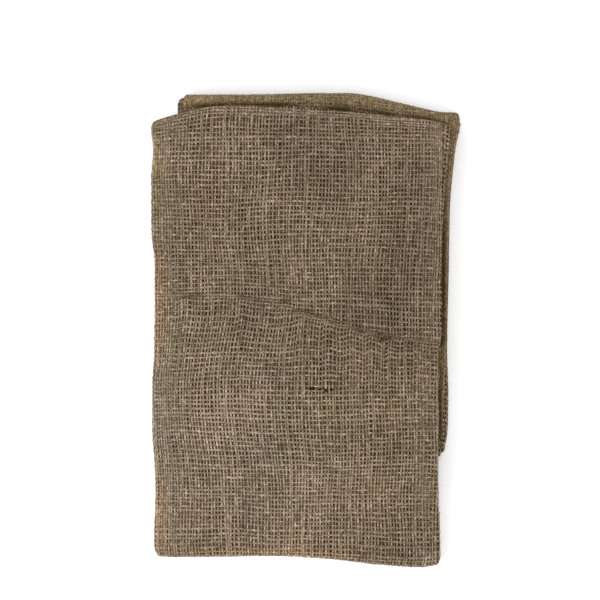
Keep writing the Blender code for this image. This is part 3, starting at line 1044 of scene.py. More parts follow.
# %% Making a guide
def make_guide(name, patch, marks, end_angles=(), spacing=3.0 * MM, columns=40):
    """A patch of cloth as an open grid with its flat place, and the size of the flat patch."""
    loop = make_loop(np.linspace(COLUMNS[0], COLUMNS[-1], columns), GUIDE_TURN_STEPS)
    way = make_way(spacing, GUIDE_FOLD_STEPS, GUIDE_FOLD_STEPS)
    points, outward, marks, u = lay_stretch(loop, way, *marks, end_angles)
    v = measure_along(points)
    u = np.broadcast_to(u, v.shape)
    dust_and_shade_left = np.ones(v.shape)
    if patch == FRONT:
        shift_u, shift_v = front_threads(points, outward, v, *along_mark(way, len(end_angles)),
                                         len(end_angles))
        u, v = u + shift_u, v + shift_v
        # dust and painted shade in the old crease
        dust_and_shade_left = crease_dust_and_shade(points[..., 0], points[..., 1])
    if patch == TOP:
        # painted shade beside and above the front's edges
        dust_and_shade_left = edge_painted_shade(points[..., 0], points[..., 1])
    faces = guide_faces(patch, marks, way, len(end_angles))
    mesh = bpy.data.meshes.new(name)
    mesh.from_pydata(points.reshape(-1, 3).tolist(), [], faces.tolist())
    used = np.stack((u, v), axis=-1).reshape(-1, 2)[faces.ravel()]
    size = used.max(axis=0) - used.min(axis=0)
    mesh.uv_layers.new(name="flat").data.foreach_set("uv", (used - used.min(axis=0)).ravel())
    facing = mesh.attributes.new("outward", "FLOAT_VECTOR", "POINT")
    facing.data.foreach_set("vector", outward.reshape(-1, 3).ravel())
    mesh.attributes.new("dust_and_shade_left", "FLOAT", "POINT").data.foreach_set("value", dust_and_shade_left.ravel())
    guide = bpy.data.objects.new(name, mesh)
    bpy.context.scene.collection.objects.link(guide)
    print(name, "faces:", len(faces), " flat size in mm:", (size / MM).round(1))
    return guide, float(size[0]), float(size[1])


# %% The four guides
CLOSED_END_TURN = np.radians(np.linspace(172.0, 0.0, 12)[:-1])     # the front goes round its end
front_guide = make_guide("front_guide", FRONT, FRONT_MARKS, CLOSED_END_TURN, columns=95)
top_guide = make_guide("top_guide", TOP, BACK_MARKS)
foot_guide = make_guide("foot_guide", FOOT, FRONT_MARKS, spacing=6.0 * MM)
under_guide = make_guide("under_guide", UNDER, FRONT_MARKS, spacing=8.0 * MM)

# %% [markdown]
# ## Weaving with Geometry Nodes
# In plain weave every yarn goes over one crossing yarn and under the next, and its neighbours do it
# the other way round. That is a rule, so it is a node tree: straight lines side by side on the flat
# cloth, one for each yarn, pushed about by a shared unevenness so that both sets of yarns still
# meet, carried over to the guide, lifted and lowered in a wave, and given an oval section that
# varies along the yarn. The same tree weaves both sets of yarns: "Across" turns it from one to the
# other.


# %% Helpers that add nodes
def add_node(tree, kind, links=(), **settings):
    """Adds a node; links is a dict or a list of (socket, value or other node's output)."""
    node = tree.nodes.new(kind)
    for key, value in settings.items():
        setattr(node, key, value)
    for socket, value in (links.items() if isinstance(links, dict) else links):
        if isinstance(value, bpy.types.NodeSocket):
            tree.links.new(value, node.inputs[socket])
        else:
            node.inputs[socket].default_value = value
    return node


def sums(tree, kind, *values):
    """One Math node, such as ADD or MULTIPLY, on numbers or sockets."""
    return add_node(tree, "ShaderNodeMath", list(enumerate(values)), operation=kind).outputs[0]


def times(tree, first, second):
    """One number multiplied by another."""
    return sums(tree, "MULTIPLY", first, second)


def plus(tree, first, *others):
    """The sum of two or more numbers."""
    for other in others:
        first = sums(tree, "ADD", first, other)
    return first


print("helpers for nodes: add_node, sums, times, plus")


# %% Helpers for vectors and noise
def vector(tree, x=0.0, y=0.0, z=0.0):
    """A vector from three numbers."""
    return add_node(tree, "ShaderNodeCombineXYZ", {"X": x, "Y": y, "Z": z}).outputs[0]


def split(tree, value):
    """The three numbers of a vector."""
    return add_node(tree, "ShaderNodeSeparateXYZ", {"Vector": value}).outputs


def moved(tree, first, second):
    """One vector added to another."""
    return add_node(tree, "ShaderNodeVectorMath", [(0, first), (1, second)],
                    operation="ADD").outputs[0]


def scaled(tree, value, scale):
    """A vector made longer or shorter."""
    return add_node(tree, "ShaderNodeVectorMath", [(0, value), ("Scale", scale)],
                    operation="SCALE").outputs[0]


def noise(tree, where, scale=1.0, detail=0.0):
    """Soft noise between 0 and 1 at a place."""
    return add_node(tree, "ShaderNodeTexNoise",
                    {"Vector": where, "Scale": scale, "Detail": detail}).outputs[0]


def noise_push(tree, where, scale, detail, reach):
    """A short vector that changes from place to place, from the colours of a soft noise."""
    colour = add_node(tree, "ShaderNodeTexNoise",
                      {"Vector": where, "Scale": scale, "Detail": detail}).outputs["Color"]
    centred = add_node(tree, "ShaderNodeVectorMath", [(0, colour), (1, (0.5, 0.5, 0.5))],
                       operation="SUBTRACT").outputs[0]
    return scaled(tree, centred, reach)


print("helpers for vectors and noise: vector, split, moved, scaled, noise, noise_push")


# %% Helpers for geometry
def named(tree, name, kind):
    """Reads a named attribute."""
    return add_node(tree, "GeometryNodeInputNamedAttribute", {"Name": name},
                    data_type=kind).outputs["Attribute"]


def store(tree, geometry, name, kind, value):
    """Keeps a value on the points as a named attribute."""
    return add_node(tree, "GeometryNodeStoreNamedAttribute",
                    {"Geometry": geometry, "Name": name, "Value": value},
                    data_type=kind, domain="POINT").outputs["Geometry"]


def here(tree):
    """The place of each point."""
    return add_node(tree, "GeometryNodeInputPosition").outputs[0]


def new_tree(name, inputs):
    """An empty geometry tree with named inputs, and what it is given."""
    tree = bpy.data.node_groups.new(name, "GeometryNodeTree")
    for title, kind in (("Geometry", "NodeSocketGeometry"), *inputs):
        tree.interface.new_socket(title, in_out="INPUT", socket_type=kind)
    tree.interface.new_socket("Geometry", in_out="OUTPUT", socket_type="NodeSocketGeometry")
    return tree, tree.nodes.new("NodeGroupInput").outputs


def finish_tree(tree, solid, material):
    """Ends a tree: smooth shading, realized instances and the material."""
    solid = add_node(tree, "GeometryNodeSetShadeSmooth", {"Geometry": solid}).outputs[0]
    solid = add_node(tree, "GeometryNodeRealizeInstances", {"Geometry": solid}).outputs[0]
    solid = add_node(tree, "GeometryNodeSetMaterial",
                     {"Geometry": solid, "Material": material}).outputs[0]
    tree.links.new(solid, tree.nodes.new("NodeGroupOutput").inputs["Geometry"])
    return len(tree.nodes)


print("helpers for geometry: named, store, here, new_tree, finish_tree")

# %% The weaving tree and its inputs
FLOAT, COLOUR, VECTOR = "NodeSocketFloat", "NodeSocketColor", "NodeSocketVector"
weave_yarns, given = new_tree("weave_yarns", (
    ("Across", "NodeSocketBool"), ("Cloth Width", FLOAT), ("Cloth Length", FLOAT),
    ("Yarn Pitch", FLOAT), ("Crossing Pitch", FLOAT), ("Half Width", FLOAT),
    ("Half Thickness", FLOAT), ("Wave", FLOAT), ("Lift", FLOAT), ("Wander", FLOAT),
    ("Unevenness", FLOAT), ("Sides", "NodeSocketInt"), ("Steps", "NodeSocketInt"),
    ("Seed", FLOAT), ("Material", "NodeSocketMaterial")))
print("inputs of the weaving tree:", [socket.name for socket in given if socket.name])


# %% Straight yarns on the flat cloth
def either(tree, kind, across, along_value, across_value):
    """One value for the long yarns, another for the cross yarns."""
    return add_node(tree, "GeometryNodeSwitch",
                    {"Switch": across, "False": along_value, "True": across_value},
                    input_type=kind).outputs[0]


def straight_yarns(tree, given):
    """Straight lines side by side: x is the yarn's own place, y runs along it."""
    across, pitch, crossing = given["Across"], given["Yarn Pitch"], given["Crossing Pitch"]
    span = either(tree, "FLOAT", across, given["Cloth Width"], given["Cloth Length"])
    reach = either(tree, "FLOAT", across, given["Cloth Length"], given["Cloth Width"])
    yarn_count = sums(tree, "FLOOR", sums(tree, "DIVIDE", span, pitch))
    crossings = sums(tree, "FLOOR", sums(tree, "DIVIDE", reach, crossing))
    point_count = plus(tree, times(tree, crossings, given["Steps"]), 1.0)
    end = vector(tree, 0.0, times(tree, crossings, crossing), 0.0)
    line = add_node(tree, "GeometryNodeCurvePrimitiveLine", {"End": end}).outputs[0]
    line = add_node(tree, "GeometryNodeResampleCurve",
                    {"Curve": line, "Count": point_count}).outputs[0]
    starts = add_node(tree, "GeometryNodeMeshLine",
                      {"Count": yarn_count, "Start Location": vector(tree, pitch),
                       "Offset": vector(tree, pitch)}, mode="OFFSET").outputs[0]
    yarns = add_node(tree, "GeometryNodeInstanceOnPoints",
                     {"Points": starts, "Instance": line}).outputs[0]
    return add_node(tree, "GeometryNodeRealizeInstances", {"Geometry": yarns}).outputs[0]


yarns = straight_yarns(weave_yarns, given)
place = split(weave_yarns, here(weave_yarns))
turn = sums(weave_yarns, "ROUND", sums(weave_yarns, "DIVIDE", place["X"], given["Yarn Pitch"]))
yarns = store(weave_yarns, yarns, "yarn", "FLOAT_VECTOR",
              vector(weave_yarns, turn, place["Y"], given["Seed"]))
print("nodes so far:", len(weave_yarns.nodes))

# %% The unevenness that both sets of yarns share
DRIFTING = (  # scales of the quick noise across and along; of the slow noise; a seed of its own
    (520.0, 30.0, 21.0, 17.0, 3.0),
    (34.0, 360.0, 16.0, 23.0, 47.0),
)
QUICK_SHARE, SLOW_SHARE = 2.7, 4.8
SLOW_SEED = 9.0                # added to the seed for the slow noise


def centred_noise(tree, where):
    """Soft noise between -0.5 and 0.5 at a place."""
    return sums(tree, "SUBTRACT", noise(tree, where), 0.5)


def shared_push(tree, given, flat):
    """How far the cloth is pushed about at a place on it, the same for both sets of yarns."""
    on = split(tree, flat)

    def part(scale_u, scale_v, seed, share):
        """One soft push at a place on the cloth, before it is scaled to the wander."""
        where = vector(tree, times(tree, on["X"], scale_u), times(tree, on["Y"], scale_v),
                       plus(tree, given["Seed"], seed))
        return times(tree, centred_noise(tree, where), share)

    pushes = []
    for quick_u, quick_v, slow_u, slow_v, seed in DRIFTING:
        both = plus(tree, part(quick_u, quick_v, seed, QUICK_SHARE),
                    part(slow_u, slow_v, seed + SLOW_SEED, SLOW_SHARE))
        pushes.append(times(tree, both, given["Wander"]))
    return vector(tree, *pushes)


flat = either(weave_yarns, "VECTOR", given["Across"],
              vector(weave_yarns, place["X"], place["Y"]),
              vector(weave_yarns, place["Y"], place["X"]))
flat = moved(weave_yarns, flat, shared_push(weave_yarns, given, flat))
print("nodes so far:", len(weave_yarns.nodes))


# %% Over and under
def over_and_under(tree, given, place, turn):
    """How high a yarn stands: over one crossing, under the next, its neighbour the other way."""
    crossing = sums(tree, "DIVIDE", place["Y"], given["Crossing Pitch"])
    phase = times(tree, plus(tree, crossing, turn), math.pi)
    return plus(tree, times(tree, sums(tree, "COSINE", phase), given["Wave"]), given["Lift"])


height = over_and_under(weave_yarns, given, place, turn)
print("nodes so far:", len(weave_yarns.nodes))


# %% Over to the guide
def from_guide(tree, guide, kind, value, flat):
    """A value of the guide at a place on the flat cloth, and whether the guide reaches there."""
    return add_node(tree, "GeometryNodeSampleUVSurface",
                    {"Mesh": guide, "Value": value, "Sample UV": flat,
                     "UV Map": named(tree, "flat", "FLOAT_VECTOR")}, data_type=kind).outputs


def onto_guide(tree, given, yarns, flat, height):
    """Carries the yarns over to the guide, and cuts them off where it ends."""
    guide = given["Geometry"]
    over = from_guide(tree, guide, "FLOAT_VECTOR", here(tree), flat)
    outward = from_guide(tree, guide, "FLOAT_VECTOR", named(tree, "outward", "FLOAT_VECTOR"), flat)
    # the share of colour left after dust and painted shade, for the yarns' material
    dust_and_shade_left = from_guide(tree, guide, "FLOAT", named(tree, "dust_and_shade_left", "FLOAT"), flat)
    there = moved(tree, over["Value"], scaled(tree, outward["Value"], height))
    yarns = store(tree, yarns, "there", "FLOAT_VECTOR", there)
    yarns = store(tree, yarns, "facing", "FLOAT_VECTOR", outward["Value"])
    yarns = store(tree, yarns, "dust_and_shade_left", "FLOAT", dust_and_shade_left["Value"])
    yarns = store(tree, yarns, "on_cloth", "FLOAT", over["Is Valid"])
    off = sums(tree, "LESS_THAN", named(tree, "on_cloth", "FLOAT"), 0.5)
    yarns = add_node(tree, "GeometryNodeDeleteGeometry", {"Geometry": yarns, "Selection": off},
                     domain="POINT").outputs[0]
    there = named(tree, "there", "FLOAT_VECTOR")
    yarns = add_node(tree, "GeometryNodeSetPosition",
                     {"Geometry": yarns, "Position": there}).outputs[0]
    return add_node(tree, "GeometryNodeSetCurveNormal",
                    {"Curve": yarns, "Normal": named(tree, "facing", "FLOAT_VECTOR")},
                    mode="FREE").outputs[0]


yarns = onto_guide(weave_yarns, given, yarns, flat, height)
print("nodes so far:", len(weave_yarns.nodes))

# %% How thick a yarn is along its length
THICKENING = (  # step from yarn to yarn; scale along the yarn; a seed of its own; share
    (7.31, 95.0, 0.0, 1.5),
    (9.83, 330.0, 40.0, 0.9),
    (3.77, 0.0, 20.0, 1.0),    # the same all along a yarn
)
SLUB_STEP, SLUB_SCALE, SLUB_SEED = 5.19, 28.0, 60.0
SLUB_FROM, SLUB_RISE = 0.66, 4.5           # only where the noise is above this, a thick stretch
THINNEST, THICKEST = 0.5, 1.9


def yarn_place(tree, own, step, scale, seed):
    """Where the noise is read for a yarn, so that no two yarns are the same."""
    along = times(tree, own["Y"], scale) if scale else 0.5
    return vector(tree, times(tree, own["X"], step), along, plus(tree, own["Z"], seed))


def thickness(tree, given):
    """A yarn swells and thins along its length, with a thick stretch now and then."""
    own = split(tree, named(tree, "yarn", "FLOAT_VECTOR"))
    thick = 1.0
    for step, scale, seed, share in THICKENING:
        swell = centred_noise(tree, yarn_place(tree, own, step, scale, seed))
        thick = plus(tree, thick, times(tree, swell, times(tree, given["Unevenness"], share)))
    rare = noise(tree, yarn_place(tree, own, SLUB_STEP, SLUB_SCALE, SLUB_SEED))
    slub = sums(tree, "MAXIMUM", sums(tree, "SUBTRACT", rare, SLUB_FROM), 0.0)
    thick = plus(tree, thick, times(tree, slub, SLUB_RISE))
    return sums(tree, "MINIMUM", sums(tree, "MAXIMUM", thick, THINNEST), THICKEST)


thick = thickness(weave_yarns, given)
print("nodes so far:", len(weave_yarns.nodes))


# %% The section of a yarn, and the solid yarns
def oval_section(tree, given):
    """The outline of a yarn, with each point's place around it kept for the material."""
    circle = add_node(tree, "GeometryNodeCurvePrimitiveCircle",
                      {"Resolution": given["Sides"], "Radius": 1.0}).outputs["Curve"]
    number = add_node(tree, "GeometryNodeInputIndex").outputs[0]
    circle = store(tree, circle, "around", "FLOAT", sums(tree, "DIVIDE", number, given["Sides"]))
    oval = vector(tree, given["Half Thickness"], given["Half Width"], 1.0)
    return add_node(tree, "GeometryNodeTransform", {"Geometry": circle, "Scale": oval}).outputs[0]


solid = add_node(weave_yarns, "GeometryNodeCurveToMesh",
                 {"Curve": yarns, "Profile Curve": oval_section(weave_yarns, given),
                  "Scale": thick, "Fill Caps": True}).outputs[0]
print("weaving tree:", finish_tree(weave_yarns, solid, given["Material"]), "nodes")


# %% Turning a guide and a tree into a plain mesh
def run_tree(tree, name, guide, values):
    """Runs a node tree on a guide and returns the result as a plain mesh object at the origin."""
    modifier = guide.modifiers.new(name, "NODES")
    modifier.node_group = tree
    sockets = {item.name: item.identifier for item in tree.interface.items_tree
               if item.in_out == "INPUT"}
    for key, value in values.items():
        modifier[sockets[key]] = value
    depsgraph = bpy.context.evaluated_depsgraph_get()
    mesh = bpy.data.meshes.new_from_object(guide.evaluated_get(depsgraph), depsgraph=depsgraph)
    guide.modifiers.remove(modifier)
    mesh.name = name
    for used_up in ("there", "facing", "on_cloth", "own"):
        if used_up in mesh.attributes:
            mesh.attributes.remove(mesh.attributes[used_up])
    piece = bpy.data.objects.new(name, mesh)
    bpy.context.scene.collection.objects.link(piece)
    mesh.calc_loop_triangles()
    print(name, "triangles:", len(mesh.loop_triangles), " points:", len(mesh.vertices))
    return piece


print("helper that runs a tree: run_tree")

# %% [markdown]
# ## The look of jute
# Jute is a bast fibre: pale brown, dry, with a faint silky sheen along the fibres and no gloss. No
# two yarns have the same tone, and each is a loose twist of coarse fibres. The colour therefore
# varies from yarn to yarn, along each yarn, and in fine streaks that follow the twist.


# %% Helpers for node groups
def new_group(name, inputs, outputs):
    """An empty shader node group with named sockets."""
    group = bpy.data.node_groups.new(name, "ShaderNodeTree")
    for way_in_or_out, sockets in (("INPUT", inputs), ("OUTPUT", outputs)):
        for title, kind in sockets:
            group.interface.new_socket(title, in_out=way_in_or_out, socket_type=kind)
    return (group, group.nodes.new("NodeGroupInput").outputs,
            group.nodes.new("NodeGroupOutput").inputs)


def fill(tree, node, links):
    """Links or sets the sockets of a node that is there already."""
    for socket, value in links.items():
        if isinstance(value, bpy.types.NodeSocket):
            tree.links.new(value, node.inputs[socket])
        else:
            node.inputs[socket].default_value = value
    return node.outputs


print("helpers for node groups: new_group, fill")

# %% Helpers for colours
WHITE = (1.0, 1.0, 1.0)


def colour_of(value):
    """A colour with its alpha, or a socket as it is."""
    return (*value, 1.0) if isinstance(value, tuple) else value


def mix_colour(tree, share, first, second, kind="MIX"):
    """One Mix node on colours."""
    node = add_node(tree, "ShaderNodeMix", data_type="RGBA", blend_type=kind)
    return fill(tree, node, {0: share, 6: colour_of(first), 7: colour_of(second)})[2]


def ramp(tree, value, low, high, to_low=0.0, to_high=1.0):
    """Carries a value from one range to another, smoothly and within it."""
    return add_node(tree, "ShaderNodeMapRange",
                    {"Value": value, "From Min": low, "From Max": high,
                     "To Min": to_low, "To Max": to_high},
                    interpolation_type="SMOOTHSTEP").outputs[0]


print("helpers for colours: colour_of, mix_colour, ramp")

# %% Tints, stains, and painted light and shade on the cloth, placed in the sack's own coordinates
TINTS_AND_PAINTED_LIGHT = (  # middle x, y and half sizes in mm; colour that multiplies the jute's; strength
    (-103.0, 20.0, 6.0, 40.0, (1.16, 0.88, 0.72), 0.55),
    (-103.5, -122.0, 5.5, 32.0, (1.10, 0.88, 0.72), 0.50),
    (-106.0, 100.0, 5.0, 40.0, (1.06, 1.08, 0.86), 0.60),
    (-40.0, -157.5, 75.0, 5.0, (1.14, 1.00, 0.80), 0.55),
    (-96.0, 5.0, 5.0, 19.0, (0.84, 1.02, 0.86), 0.50),
    (-68.0, 92.0, 9.0, 14.0, (1.12, 0.94, 0.92), 0.50),
    (-52.0, 66.0, 8.0, 10.0, (0.88, 1.03, 1.02), 0.50),
    (6.0, -48.0, 7.0, 5.0, (0.82, 1.00, 0.88), 0.55),
    (-17.0, -53.0, 8.0, 5.0, (0.84, 1.06, 0.86), 0.60),
    (-18.0, -91.0, 6.0, 6.0, (0.84, 1.06, 0.88), 0.60),
    (18.0, -35.0, 8.0, 6.0, (0.98, 0.98, 0.76), 0.55),
    (59.0, -51.0, 6.0, 5.0, (0.98, 0.98, 0.76), 0.55),
    (66.0, 77.0, 9.0, 5.0, (0.98, 0.98, 0.78), 0.50),
    # the next three darken the cloth along the old crease: dust there, and painted shade
    (-79.0, 23.6, 8.5, 2.4, (0.50, 0.45, 0.34), 0.85),
    (-14.0, 20.5, 4.5, 2.6, (0.62, 0.56, 0.42), 0.80),
    (56.3, -6.6, 4.0, 1.6, (0.50, 0.45, 0.35), 0.80),
    # the next four are painted light: darker to the upper right and right, lighter to the lower left
    # and along the left edge
    (50.0, 80.0, 105.0, 120.0, (0.81, 0.80, 0.79), 0.80),
    (70.0, -60.0, 55.0, 130.0, (0.85, 0.84, 0.83), 0.70),
    (-50.0, -90.0, 60.0, 80.0, (1.09, 1.11, 1.18), 0.75),
    (-104.5, -40.0, 5.0, 120.0, (1.08, 1.14, 1.20), 0.75),
)
DASHES = (  # middle x, y and half sizes of the short dark stains in mm
    (3.9, -41.2, 2.8, 1.30), (9.2, -41.7, 1.5, 0.95),
    (13.8, -42.7, 1.7, 1.30), (17.6, -42.1, 1.5, 1.05),
)
print("tints:", len(TINTS_AND_PAINTED_LIGHT), " stains:", len(DASHES))

# %% The tints and painted light as a node group
TINT_SOFT, DASH_SOFT = 0.9, 0.25           # how soft their borders are, as a share of their size
DASH_STRENGTH = 0.95
DASH_COLOUR = (0.020, 0.009, 0.001)
UPPER_FROM, UPPER_TO = 4.0 * MM, 12.0 * MM     # the underside has no tints
RAGGED = (160.0, 2.0, 9.0 * MM)            # scale, detail and reach of what makes borders ragged
SLOW_NOISE = (22.0, 3.0)                   # scale and detail of the slow change of tone
SLOW_TONES = (0.35, 0.68, 0.86, 1.10)      # from where to where in the noise, and in the tone


def patch_mask(tree, place, middle_x, middle_y, half_x, half_y, soft):
    """1 inside an oval on the sack, fading out over its border."""
    x = sums(tree, "DIVIDE", sums(tree, "SUBTRACT", place["X"], middle_x * MM), half_x * MM)
    y = sums(tree, "DIVIDE", sums(tree, "SUBTRACT", place["Y"], middle_y * MM), half_y * MM)
    square = plus(tree, times(tree, x, x), times(tree, y, y))
    return ramp(tree, square, 1.0 + soft, 1.0 - soft)


def tints_and_painted_light_group():
    """Gives the jute's colour its large uneven tints, painted light and shade, and short dark stains.
    """
    group, given, made = new_group("jute_tints_and_painted_light", (("Colour", COLOUR), ("Place", VECTOR)),
                                   (("Colour", COLOUR),))
    ragged = split(group, moved(group, given["Place"], noise_push(group, given["Place"], *RAGGED)))
    exact = split(group, given["Place"])
    upper = ramp(group, exact["Z"], UPPER_FROM, UPPER_TO)
    colour = given["Colour"]
    for *oval, tint, strength in TINTS_AND_PAINTED_LIGHT:
        mask = times(group, patch_mask(group, ragged, *oval, TINT_SOFT), strength)
        with_tints_and_painted_light = mix_colour(group, 1.0, colour, tint, "MULTIPLY")
        colour = mix_colour(group, times(group, mask, upper), colour, with_tints_and_painted_light)
    for oval in DASHES:
        mask = times(group, patch_mask(group, exact, *oval, DASH_SOFT), DASH_STRENGTH)
        colour = mix_colour(group, times(group, mask, upper), colour, DASH_COLOUR)
    slow = ramp(group, noise(group, given["Place"], *SLOW_NOISE), *SLOW_TONES)
    colour = mix_colour(group, 1.0, colour, vector(group, slow, slow, slow), "MULTIPLY")
    group.links.new(colour, made["Colour"])
    return group


jute_tints_and_painted_light = tints_and_painted_light_group()
print("tints:", len(jute_tints_and_painted_light.nodes), "nodes")

# %% The colour of jute fibres
JUTE_DARK, JUTE_LIGHT = (0.068, 0.043, 0.020), (0.288, 0.216, 0.143)
PALE_FIBRE = (0.525, 0.440, 0.356)
GREENISH, RUDDY = (0.985, 1.01, 0.96), (1.015, 0.99, 1.01)
HUE_NOISE = (90.0, 2.0)                    # scale and detail
YARN_SHARE, STRETCH_SHARE, STREAK_SHARE, FINE_SHARE = 0.07, 0.40, 0.90, 0.70   # in the tone
PALE_STRETCH, PALE_FINE, PALE_STREAK, PALE_MOST = 0.20, 0.25, 0.55, 0.60       # in the pale ones
TONES, PALE_TONES, HUES = (0.34, 1.02), (0.50, 0.62), (0.30, 0.70)             # from, to


def fibre_colour(group, place, number, stretch, streak, fine):
    """Dark to light jute by the tone of the fibres, with pale fibres and a slight change of hue."""
    along = plus(group, times(group, stretch, STRETCH_SHARE), times(group, streak, STREAK_SHARE))
    tone = plus(group, times(group, number, YARN_SHARE), along)
    tone = plus(group, tone, times(group, sums(group, "SUBTRACT", fine, 0.5), FINE_SHARE))
    colour = mix_colour(group, ramp(group, tone, *TONES), JUTE_DARK, JUTE_LIGHT)
    pale = plus(group, times(group, stretch, PALE_STRETCH), times(group, fine, PALE_FINE),
                times(group, streak, PALE_STREAK))
    pale = times(group, ramp(group, pale, *PALE_TONES), PALE_MOST)
    colour = mix_colour(group, pale, colour, PALE_FIBRE)
    hue = ramp(group, noise(group, place, *HUE_NOISE), *HUES)
    return mix_colour(group, 1.0, colour, mix_colour(group, hue, GREENISH, RUDDY), "MULTIPLY")


print("from jute dark", JUTE_DARK, "to light", JUTE_LIGHT)

# %% Fibres of one yarn
TWIST = 210.0                              # turns of the fibres in a metre of yarn
STREAKS = (5.0, 240.0, 3.7)                # scales round and along the yarn, and from yarn to yarn
STRETCHES = 120.0                          # scale along the yarn of lighter and darker stretches
STREAK_NOISE, STRETCH_NOISE = (1.0, 3.0), (1.0, 2.0)           # scale and detail
FINE_NOISE = (2600.0, 2.0)
STREAK_HEIGHT, FINE_HEIGHT = 0.7, 0.3


def fibre_group():
    """From a yarn's number and the place along and round it: the colour and height of fibres."""
    group, given, made = new_group("jute_fibres",
                                   (("Yarn", VECTOR), ("Around", FLOAT), ("Place", VECTOR)),
                                   (("Colour", COLOUR), ("Height", FLOAT)))
    own = split(group, given["Yarn"])
    number = add_node(group, "ShaderNodeTexWhiteNoise",
                      {"Vector": vector(group, sums(group, "ROUND", own["X"]), 0.5, own["Z"])},
                      noise_dimensions="3D").outputs["Value"]
    twist = plus(group, given["Around"], times(group, own["Y"], TWIST))
    streak_at = (sums(group, "FRACT", twist), own["Y"], own["X"])
    streak_at = vector(group, *(times(group, at, scale) for at, scale in zip(streak_at, STREAKS)))
    streak = noise(group, streak_at, *STREAK_NOISE)
    fine = noise(group, given["Place"], *FINE_NOISE)
    stretch_at = vector(group, times(group, own["Y"], STRETCHES), own["X"], own["Z"])
    stretch = noise(group, stretch_at, *STRETCH_NOISE)
    colour = fibre_colour(group, given["Place"], number, stretch, streak, fine)
    height = plus(group, times(group, streak, STREAK_HEIGHT), times(group, fine, FINE_HEIGHT))
    group.links.new(colour, made["Colour"])
    group.links.new(height, made["Height"])
    return group


jute_fibres = fibre_group()
print("fibres:", len(jute_fibres.nodes), "nodes")


# %% Dry cloth
def use_group(tree, group, links):
    """Places a node group in a material."""
    node = tree.nodes.new("ShaderNodeGroup")
    node.node_tree = group
    return fill(tree, node, links)


def read(tree, name, socket="Fac"):
    """Reads an attribute of the mesh in a material."""
    return add_node(tree, "ShaderNodeAttribute", attribute_name=name).outputs[socket]


def object_place(tree):
    """The place on the sack, in metres."""
    return add_node(tree, "ShaderNodeTexCoord").outputs["Object"]


def dry_cloth(name, specular=0.08, sheen=0.04):
    """A new material set up as dry, matt fibre with a faint sheen."""
    material = bpy.data.materials.new(name)
    material.use_nodes = True
    shader = material.node_tree.nodes["Principled BSDF"]
    fill(material.node_tree, shader, {"Metallic": 0.0, "Specular IOR Level": specular,
                                      "Sheen Weight": sheen, "Sheen Roughness": 0.5})
    return material, material.node_tree, shader


print("helpers for materials: use_group, read, object_place, dry_cloth")

# %% The yarns' material
SPECK_COLOUR = (0.520, 0.430, 0.270)
SPECK_SCALE, SPECKS = 1150.0, (0.60, 0.70)     # only where the noise is above these
DUST_AND_SHADE_POWERS = (1.2, 1.6)       # dust and painted shade take more of the green and blue than of the red
YARN_ROUGHNESS = (0.2, 0.8, 0.95, 0.78)        # from deep to high fibres, and the roughness there
FIBRE_BUMP, FIBRE_BUMP_STRENGTH = 0.25 * MM, 0.6


def yarn_material(name, tint=WHITE, specks=0.0):
    """Jute yarn: fibres, the sack's tints and painted light, pale specks, dust and painted shade."""
    material, tree, shader = dry_cloth(name)
    place = object_place(tree)
    fibres = use_group(tree, jute_fibres, {"Yarn": read(tree, "yarn", "Vector"),
                                           "Around": read(tree, "around"), "Place": place})
    with_tints_and_painted_light = use_group(tree, jute_tints_and_painted_light, {"Colour": fibres["Colour"], "Place": place})
    colour = mix_colour(tree, 1.0, with_tints_and_painted_light["Colour"], tint, "MULTIPLY")
    speck = times(tree, ramp(tree, noise(tree, place, SPECK_SCALE), *SPECKS), specks)
    colour = mix_colour(tree, speck, colour, SPECK_COLOUR)
    dust_and_shade_left = read(tree, "dust_and_shade_left")
    dust_and_painted_shade = vector(tree, dust_and_shade_left, *(sums(tree, "POWER", dust_and_shade_left, power) for power in DUST_AND_SHADE_POWERS))
    bump = add_node(tree, "ShaderNodeBump",
                    {"Strength": FIBRE_BUMP_STRENGTH, "Distance": FIBRE_BUMP,
                     "Height": fibres["Height"]})
    fill(tree, shader, {"Base Color": mix_colour(tree, 1.0, colour, dust_and_painted_shade, "MULTIPLY"),
                        "Roughness": ramp(tree, fibres["Height"], *YARN_ROUGHNESS),
                        "Normal": bump.outputs[0]})
    return material


jute_yarn = yarn_material("jute_yarn")
jute_strip = yarn_material("jute_yarn_at_the_folds", tint=(0.96, 0.92, 0.73), specks=0.22)
print("materials:", jute_yarn.name, jute_strip.name)

# %% [markdown]
# ## The plain wall's weave
# The layers inside show only at the sides and through the holes, so their weave is a pattern: two
# # sets of rounded stripes on the flat map in metres, over and under by turns, with the holes between
# # them painted dark as the shade in them, and the same fibres and tints.

# %% Stripes of the pattern
UNEVEN_FLAT = (260.0, 1.0, 1.1 * MM)       # scale, detail and reach of the unevenness
STRIPE_EDGE, STRIPE_TOP = 0.33, 0.06       # from the middle of a stripe, in shares of the pitch
STRIPE_HEIGHT, STRIPE_WAVE = 0.65, 0.35
HOLE_FROM, HOLE_TO = 0.22, 0.05            # heights between which a hole opens
SECOND_SET = 500.0             # added to the numbers of the second set, to keep the sets apart


def stripes(group, across, along, sign):
    """The height and numbers of one set of stripes; sign is -1 for the set that goes under."""
    turn = sums(group, "ROUND", across)
    off = sums(group, "ABSOLUTE", sums(group, "SUBTRACT", across, turn))
    body = ramp(group, off, STRIPE_EDGE, STRIPE_TOP)
    wave = sums(group, "COSINE", times(group, plus(group, along, turn), math.pi))
    wave = plus(group, times(group, wave, sign * STRIPE_WAVE), STRIPE_HEIGHT)
    return times(group, body, wave), turn


